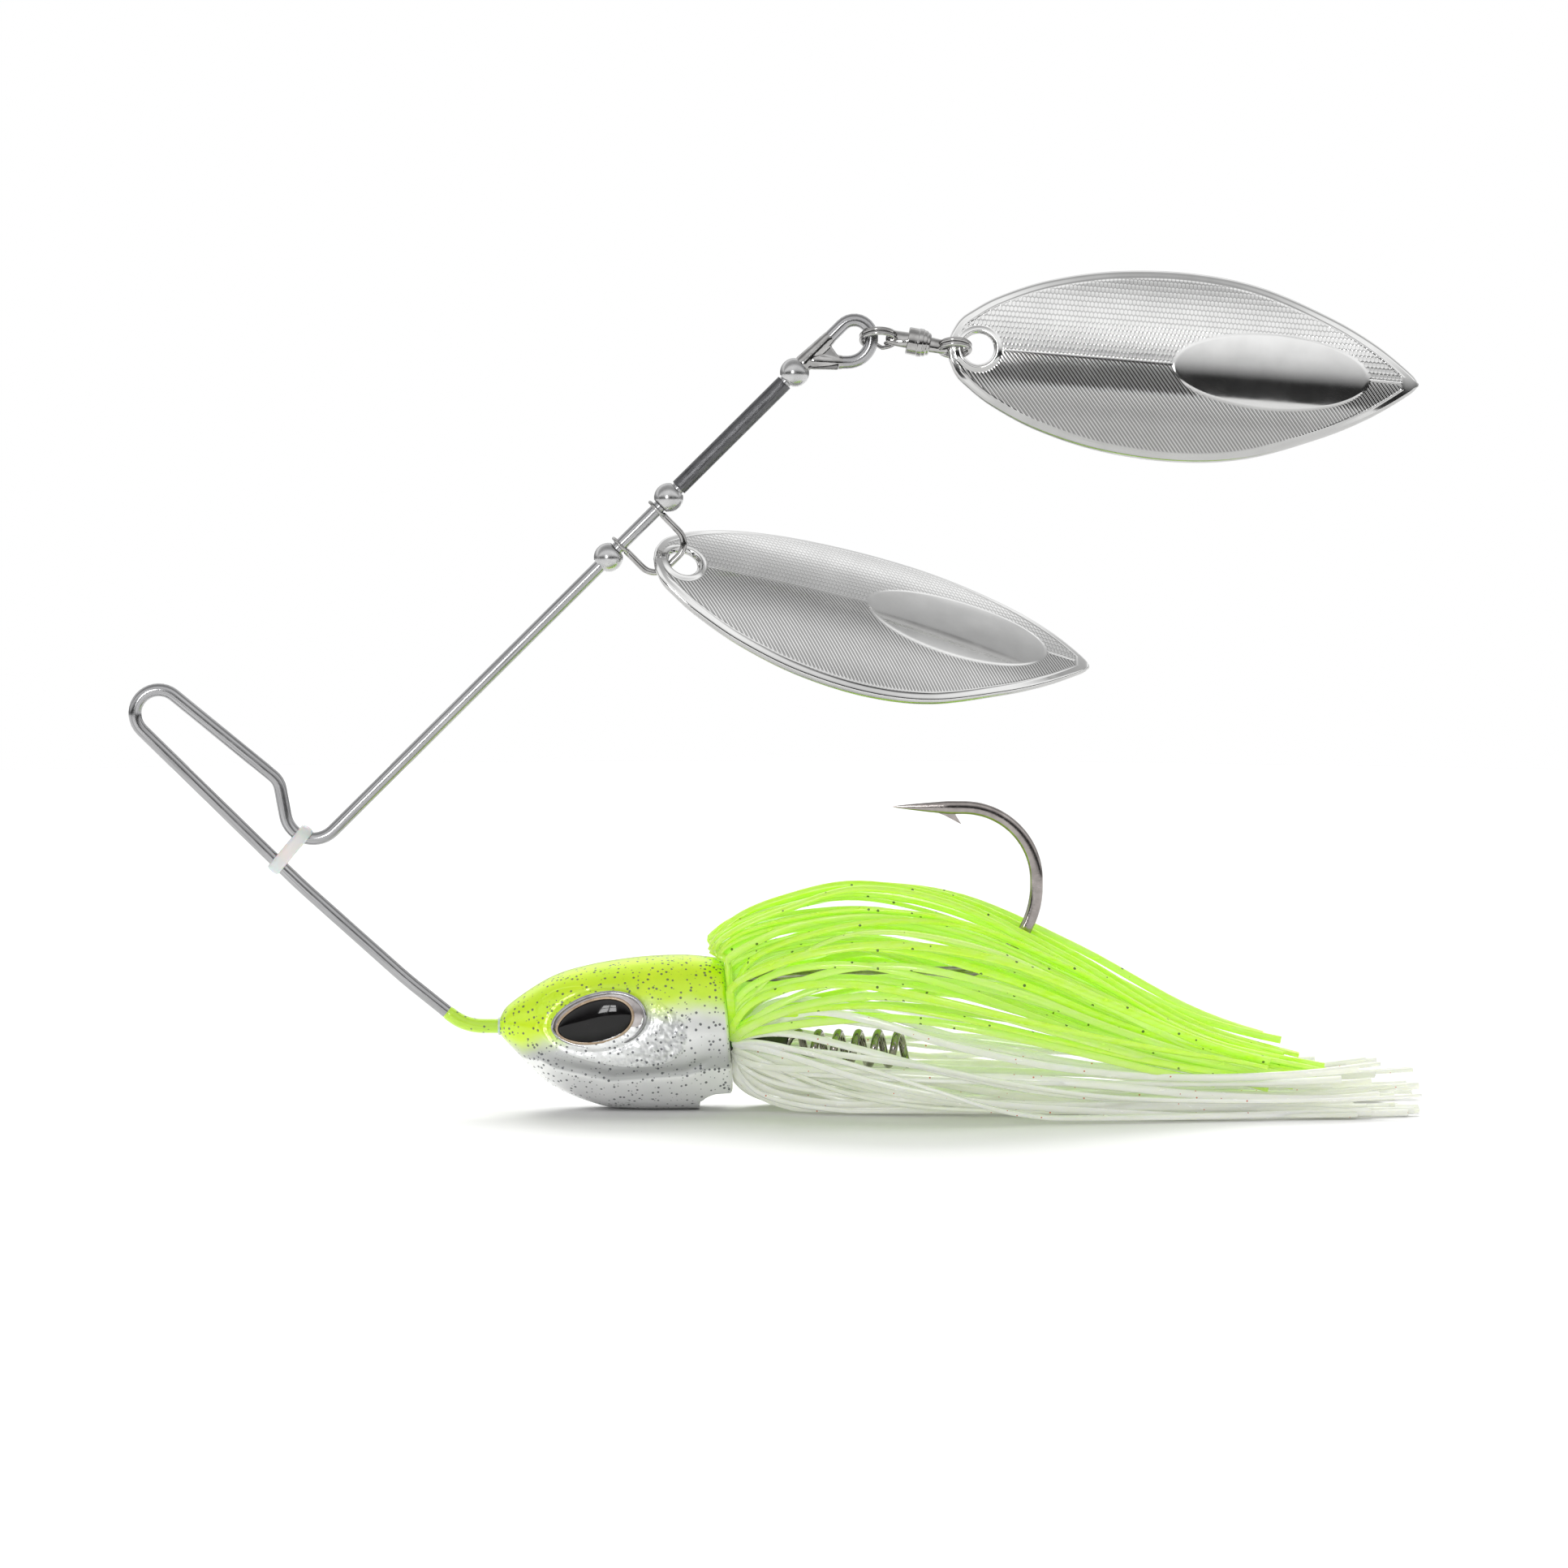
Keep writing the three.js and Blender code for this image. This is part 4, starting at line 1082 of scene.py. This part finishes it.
def split_ring(name, ring, centre, body, node):
    """Two flat turns of wire side by side, with a crossover at the far side."""
    d, r = ring["d"], ring["r"]
    cross_at, end_gap, cross_half = pi / 2, 0.42, 0.2
    line = []
    for i in range(181):
        turn = cross_at + end_gap + (4 * pi - 2 * end_gap) * i / 180
        over = max(-1.0, min(1.0, (turn - cross_at - 2 * pi) / cross_half))
        line.append((r * cos(turn), r * sin(turn), over * (d / 2 + 0.012)))
    shape = tube(line, d / 2, 18)
    piece(name, moved(shape, Matrix.Translation(centre) @ RING_TURN), SWIVEL, body, [node])


def drilled(shape, hole_r):
    """The shape with a round hole along Y through the origin."""
    rod, drill = loose_object(shape), loose_object(tube([(0, -3, 0), (0, 3, 0)], hole_r, 40, False))
    cut = rod.modifiers.new("cut", "BOOLEAN")
    cut.operation, cut.solver, cut.object = "DIFFERENCE", "EXACT", drill
    edge = rod.modifiers.new("edge", "BEVEL")
    edge.width, edge.segments, edge.limit_method, edge.angle_limit = 0.07, 3, "ANGLE", radians(40)
    return taken(rod, drill)


def swivel_eye(profile, flat_to, thin, hole_r):
    """A stout rod end with a cross hole at the origin, flattened along Y until x = flat_to."""
    turn = circle(48)
    rings = []
    for x, r in profile:
        y = thin + (1 - thin) * min(max((x - flat_to) / 0.7, 0), 1)
        rings.append([(x, y * r * cos(a), r * sin(a)) for a in turn])
    return drilled(skin(rings), hole_r)


def swivel():
    front_line = [(-0.92, 0.16), (-0.88, 0.36), (-0.74, 0.55), (-0.5, 0.66), (-0.2, 0.71), (0.2, 0.73),
                  (0.6, 0.73), (0.9, 0.72), (1.2, 0.71), (1.28, 0.66), (1.3, 0.5), (1.65, 0.45)]
    flange = eased([(1.6, 0), (1.6, 0.32), (1.82, 0.35), (1.82, 0.72), (2.2, 0.72), (2.2, 0)], 0.04)
    front = merged(swivel_eye(front_line, 0.35, 0.6, 0.48), lathe(flange, 40))
    piece("swivel_front_eye", moved(front, SWIVEL_PLACE), SWIVEL, "swivel_rotor",
          ["swivel_rotor"], sharp=35)
    shell = lathe(eased([
        (1.0, 0.92), (1.0, 1.14), (1.06, 1.19), (1.9, 1.19), (1.94, 1.24), (2.3, 1.24), (2.34, 1.16),
        (2.62, 1.14), (2.72, 1.0), (2.9, 0.98), (3.0, 0.80), (3.02, 0), (2.45, 0), (2.45, 0.92)], 0.03), 64)
    rear_line = [(-0.95, 0.70), (-0.6, 0.69), (-0.2, 0.67), (0.2, 0.66), (0.45, 0.62), (0.66, 0.50),
                 (0.78, 0.32), (0.82, 0.14)]
    rear = swivel_eye(rear_line, -9, 1.0, 0.44)
    rear = rear[0] * (1, 0.72, 1), rear[1]
    rear = moved(rear, Matrix.Translation((SWIVEL_EYES_APART, 0, 0)))
    piece("swivel_body", moved(merged(shell, rear), SWIVEL_PLACE), SWIVEL, "swivel_barrel",
          ["swivel_barrel"], sharp=35)
    cap = lathe(eased([(1.03, 0.44), (1.03, 0.86), (1.27, 0.86), (1.27, 0.44)], 0.03), 48)
    piece("swivel_washer", moved(cap, SWIVEL_PLACE), SWIVEL, "swivel_barrel", ["swivel_cap"])
    for i in range(6):
        at = Matrix.Rotation(2 * pi * i / 6, 4, "X") @ Matrix.Translation((1.53, 0.62, 0))
        piece(f"swivel_ball_{i + 1}", moved(ball(0.2), SWIVEL_PLACE @ at), NICKEL, "bearing_balls",
              [f"bearing_ball_{i + 1}"])


# ---------------------------------------------------------------- blades
blade_side = outline([(0, 0.1), (0.12, 1.0), (0.3, 1.5), (0.83, 2.45), (1.7, 3.25), (4.1, 4.83), (8.3, 6.62),
                      (14, 7.95), (20.6, 8.35), (26.8, 7.6), (33, 5.4), (37.2, 3.29), (40.4, 1.06),
                      (41.3, 0.12)])
BLADE_ROWS, BLADE_COLUMNS = 496, 156
MARGIN = 0.72                      # plain polished border of the embossed area
EMBOSS = 0.013                     # height of scales and ribs


def ramp(value, low, high):
    u = np.clip((value - low) / (high - low), 0, 1)
    return u * u * (3 - 2 * u)


def blade_relief(x, z, edge):
    """Height above the plain surface of the convex side."""
    inside = ramp(edge, MARGIN, MARGIN + 0.12)
    panel = np.hypot((x - BLADE_PANEL["x"]) / BLADE_PANEL["long"], z / BLADE_PANEL["high"])
    from_hole = np.hypot(x - BLADE_HOLE["x"], z)
    inside *= ramp(panel, 1.0, 1.035) * ramp(from_hole, BLADE_HOLE["rim"], BLADE_HOLE["rim"] + 0.12)
    scales = 1 - ramp(scale_edge(x, z, lambda v: v - np.round(v), np.minimum), 0.02, 0.09)
    pattern = np.where(z > 0, scales, ramp(np.cos(rib_turn(x, z)), -0.6, 0.9))
    height = EMBOSS * inside * pattern * ramp(abs(z), 0.06, 0.2)
    height += 0.05 * inside * (1 - ramp(abs(z), 0.0, 0.14))
    height += 0.045 * np.exp(-((edge - MARGIN) / 0.07) ** 2) * ramp(from_hole, 2.3, 2.6)
    height += 0.05 * (1 - ramp(panel, 0.97, 1.03))
    crest = np.clip((from_hole - BLADE_HOLE["r"]) / (BLADE_HOLE["rim"] - BLADE_HOLE["r"]), 0, 1)
    height += 0.15 * np.sin(pi * crest ** 0.75) * (from_hole < BLADE_HOLE["rim"])
    return height, inside * ramp(abs(z), 0.06, 0.2)


def blade_sheet():
    """Grids of points for the convex and the hollow side, cut round the hole, with rolled edges."""
    rows, columns = BLADE_ROWS, BLADE_COLUMNS
    i = np.arange(rows + 1) / rows
    x = BLADE["length"] * (0.62 * i + 0.38 * (0.5 - 0.5 * np.cos(pi * i)))
    v = np.arange(columns + 1) / columns * 2 - 1
    v = np.sin(v * pi / 2 * 0.6) / sin(pi / 2 * 0.6)
    x = np.repeat(x[:, None], columns + 1, 1)
    half = blade_side(x)
    z = half * v
    steep = np.gradient(half[:, 0], x[:, 0])[:, None]
    hole_x, hole_r = BLADE_HOLE["x"], BLADE_HOLE["r"]
    cell = 2
    middle_x = (x[:-cell:cell, :-cell:cell] + x[cell::cell, cell::cell]) / 2
    middle_z = (z[:-cell:cell, :-cell:cell] + z[cell::cell, cell::cell]) / 2
    solid = np.hypot(middle_x - hole_x, middle_z) > hole_r
    # points on the hole's edge go exactly onto its circle
    gone = np.kron(~solid, np.ones((cell, cell), bool))
    touch_gone, touch_kept = np.zeros(x.shape, bool), np.zeros(x.shape, bool)
    for di in (0, 1):
        for dk in (0, 1):
            touch_gone[di:rows + di, dk:columns + dk] |= gone
            touch_kept[di:rows + di, dk:columns + dk] |= ~gone
    rim = touch_gone & touch_kept
    radius = np.hypot(x - hole_x, z)
    pull = np.where(rim, hole_r / np.maximum(radius, 1e-6), 1.0)
    x, z = hole_x + (x - hole_x) * pull, z * pull
    edge = (half - abs(z)) / np.sqrt(1 + steep ** 2)
    edge = np.minimum(edge, (BLADE["length"] - x) * 0.5)
    return x, z, np.maximum(edge, 0), solid, rim


def blade_shape():
    x, z, edge, solid, rim = blade_sheet()
    rows, columns = BLADE_ROWS, BLADE_COLUMNS
    base = BLADE["bow"] * (2 * x / BLADE["length"] - 1) ** 2 + BLADE["dish"] * (z / BLADE["half_width"]) ** 2
    roll_r = 0.27
    near = np.clip(edge, 0, roll_r)
    rolled = roll_r - np.sqrt(np.maximum(roll_r ** 2 - (roll_r - near) ** 2, 0))
    from_hole = np.hypot(x - BLADE_HOLE["x"], z)
    lip = 0.22 * (1 - ramp(from_hole, BLADE_HOLE["r"], BLADE_HOLE["r"] + 0.3))
    height, embossed_area = blade_relief(x, z, edge)
    front = base + rolled + lip - height
    back = base + BLADE["thick"] - rolled - lip
    fronts = np.stack([x, front, z], -1)
    backs = np.stack([x, back, z], -1)[::2, ::2]
    points = np.vstack([fronts.reshape(-1, 3), backs.reshape(-1, 3)])
    # tone marks the embossed area, where the blade's material paints shade along the scales and ribs and
    # bumps them
    tone = np.concatenate([embossed_area.ravel(), np.zeros(backs.size // 3)])
    start, wide, back_wide = (rows + 1) * (columns + 1), columns + 1, columns // 2 + 1
    f = lambda i, k: i * wide + k
    b = lambda i, k: start + (i // 2) * back_wide + k // 2
    faces = []
    for i in range(0, rows, 2):
        for k in range(0, columns, 2):
            if not solid[i // 2, k // 2]:
                continue
            for m in (i, i + 1):
                for n in (k, k + 1):
                    faces.append((f(m, n), f(m + 1, n), f(m + 1, n + 1), f(m, n + 1)))
            faces.append((b(i, k), b(i, k + 2), b(i + 2, k + 2), b(i + 2, k)))
    for i in range(0, rows, 2):
        for k in range(0, columns, 2):
            if not solid[i // 2, k // 2]:
                continue
            for di, dk, c0, c1 in ((-2, 0, (i, k), (i, k + 2)), (2, 0, (i + 2, k + 2), (i + 2, k)),
                                   (0, -2, (i + 2, k), (i, k)), (0, 2, (i, k + 2), (i + 2, k + 2))):
                m, n = (i + di) // 2, (k + dk) // 2
                if 0 <= m < rows // 2 and 0 <= n < columns // 2 and solid[m, n]:
                    continue
                mid = f((c0[0] + c1[0]) // 2, (c0[1] + c1[1]) // 2)
                faces.append((f(*c0), mid, b(*c0)))
                faces.append((mid, f(*c1), b(*c1)))
                faces.append((mid, b(*c1), b(*c0)))
    used = np.zeros(len(points), bool)
    used[[n for face in faces for n in face]] = True
    number = np.cumsum(used) - 1
    faces = [tuple(int(number[n]) for n in face) for face in faces]
    middle = BLADE["bow"] * (2 * BLADE_HOLE["x"] / BLADE["length"] - 1) ** 2 + BLADE["thick"] / 2
    flat = points[used][:, (0, 2)] / SHEET
    return (points[used] - (BLADE_HOLE["x"], middle, 0), faces), tone[used], flat


def blades():
    shape, tone, flat = blade_shape()
    rear_hole = rear_ring_centre + Vector((REAR_RING["r"] + REAR_BLADE["reach"], 0, -RING_HANG))
    for name, node, hole, angles in (("rear_blade_leaf", "blade_rear", rear_hole, REAR_BLADE),
                                     ("front_blade_leaf", "blade_front", FRONT_BLADE["hole"], FRONT_BLADE)):
        turn = Euler([radians(a) for a in (-angles["roll"], angles["down"], angles["away"])])
        place = Matrix.Translation(hole) @ turn.to_matrix().to_4x4()
        obj = piece(name, moved(shape, place), CHROME, node, [node], sharp=60, tone=tone)
        layer = obj.data.uv_layers.new(name="sheet")
        corners = np.zeros(len(obj.data.loops), int)
        obj.data.loops.foreach_get("vertex_index", corners)
        layer.data.foreach_set("uv", flat[corners].ravel())


# ---------------------------------------------------------------- stage, light, camera
def stage():
    """Pale floor disc, with a soft contact shadow under the lure."""
    r, rows = 0.36, 40
    points = [(0.055 + r * i / rows * cos(a), r * i / rows * sin(a), FLOOR_Z * MM)
              for i in range(1, rows + 1) for a in circle(96)]
    faces = [tuple(range(96))]
    for start in range(0, 96 * (rows - 1), 96):
        for k, n in zip(range(96), (*range(1, 96), 0)):
            faces.append((start + k, start + 96 + k, start + 96 + n, start + n))
    mesh = bpy.data.meshes.new("floor")
    mesh.from_pydata(points, [], faces)
    look = Look("floor_white", Roughness=0.9)
    look.set("Specular IOR Level", 0.1)
    cloud = look.noise(look.node("TexCoord", out="Object"), 3.0, 2)
    look.set("Base Color", look.mix(cloud, (0.86, 0.86, 0.855), (0.88, 0.88, 0.875)))
    mesh.materials.append(look.material)
    floor = bpy.data.objects.new("floor", mesh)
    bpy.context.scene.collection.objects.link(floor)


# Brightness of the studio round the lure's long axis: degrees from the camera side, up and over.
STUDIO = ((-180, 0.3), (-100, 0.5), (-12, 0.05), (5, 0.03), (10, 0.35), (16, 0.75), (26, 1.15), (40, 1.45),
          (56, 1.35), (68, 0.9), (80, 0.55), (96, 0.62), (120, 0.85), (136, 1.5), (150, 1.2), (180, 0.4))


def world():
    """A striped studio for reflections, dark at the horizon, and plain white behind the lure."""
    w = bpy.data.worlds.new("studio")
    bpy.context.scene.world = w
    w.use_nodes = True
    w.node_tree.nodes.clear()
    graph = Graph(w.node_tree)
    _, y, z = graph.parts(graph.node("TexCoord", out="Generated"))
    share = graph.span(graph.math("ARCTAN2", z, y * -1.0), -pi, pi)
    level = graph.ramp(share, [((a + 180) / 360, v / 2) for a, v in STUDIO])
    gloss = graph.node("LightPath", out="Is Glossy Ray")
    studio = graph.node("Background", {"Color": level, "Strength": gloss * 0.6 + 1.0})
    plain = graph.node("Background", {"Color": (1, 1, 1), "Strength": 1.0})
    pick = graph.node("MixShader", {0: graph.node("LightPath", out="Is Camera Ray"), 1: studio, 2: plain})
    graph.node("OutputWorld", {"Surface": pick}, out=None)


def softbox(name, at, aim, size, radiance, reflected=True):
    light = bpy.data.lights.new(name, "AREA")
    light.shape, light.size, light.size_y = "RECTANGLE", size[0], size[1]
    light.energy = radiance * pi * size[0] * size[1]
    obj = bpy.data.objects.new(name, light)
    obj.location = at
    obj.rotation_euler = (Vector(aim) - Vector(at)).to_track_quat("-Z", "Y").to_euler()
    obj.visible_glossy = reflected
    bpy.context.scene.collection.objects.link(obj)


def camera():
    """A long lens about 0.8 m away, 5 degrees above the lure, looking along +Y."""
    aim, away, rise = Vector((0.0549, 0, -0.0062)), 0.8, radians(5)
    cam = bpy.data.cameras.new("camera")
    cam.type, cam.sensor_width, cam.lens = "PERSP", 36, 209
    cam.clip_start, cam.clip_end = 0.05, 20
    obj = bpy.data.objects.new("camera", cam)
    obj.location = aim + Vector((0, -cos(rise), sin(rise))) * away
    obj.rotation_euler = (aim - obj.location).to_track_quat("-Z", "Y").to_euler()
    bpy.context.scene.collection.objects.link(obj)
    bpy.context.scene.camera = obj


camera()
stage()
world()
softbox("top_box", (0.055, 1.6, 3.0), (0.055, 1.6, 0), (3.4, 2.5), 2.7, False)
softbox("back_box", (0.055, 3.2, 2.2), (0.055, 0, 0), (2.6, 1.4), 11, False)
for pane_x in (-0.27, -0.16):
    for pane_z in (0.10, 0.24):
        softbox(f"window_{pane_x}_{pane_z}", (pane_x, -1.0, pane_z), (0.04, 0, -0.02), (0.09, 0.12), 13)
bpy.context.scene.view_settings.view_transform = "Standard"
bpy.context.scene.view_settings.look = "None"

wire_frame()
loop_ferrule()
keeper_band()
head()
eye(-1, "left")
eye(1, "right")
hook()
trailer_keeper()
skirt()
string_arm()
clevis()
split_ring("front_split_ring", FRONT_RING, Vector((FRONT_RING["x"], 0, FRONT_RING["z"])), "split_ring_front",
           "split_ring_front")
swivel()
split_ring("rear_split_ring", REAR_RING, rear_ring_centre, "split_ring_rear", "split_ring_rear")
blades()
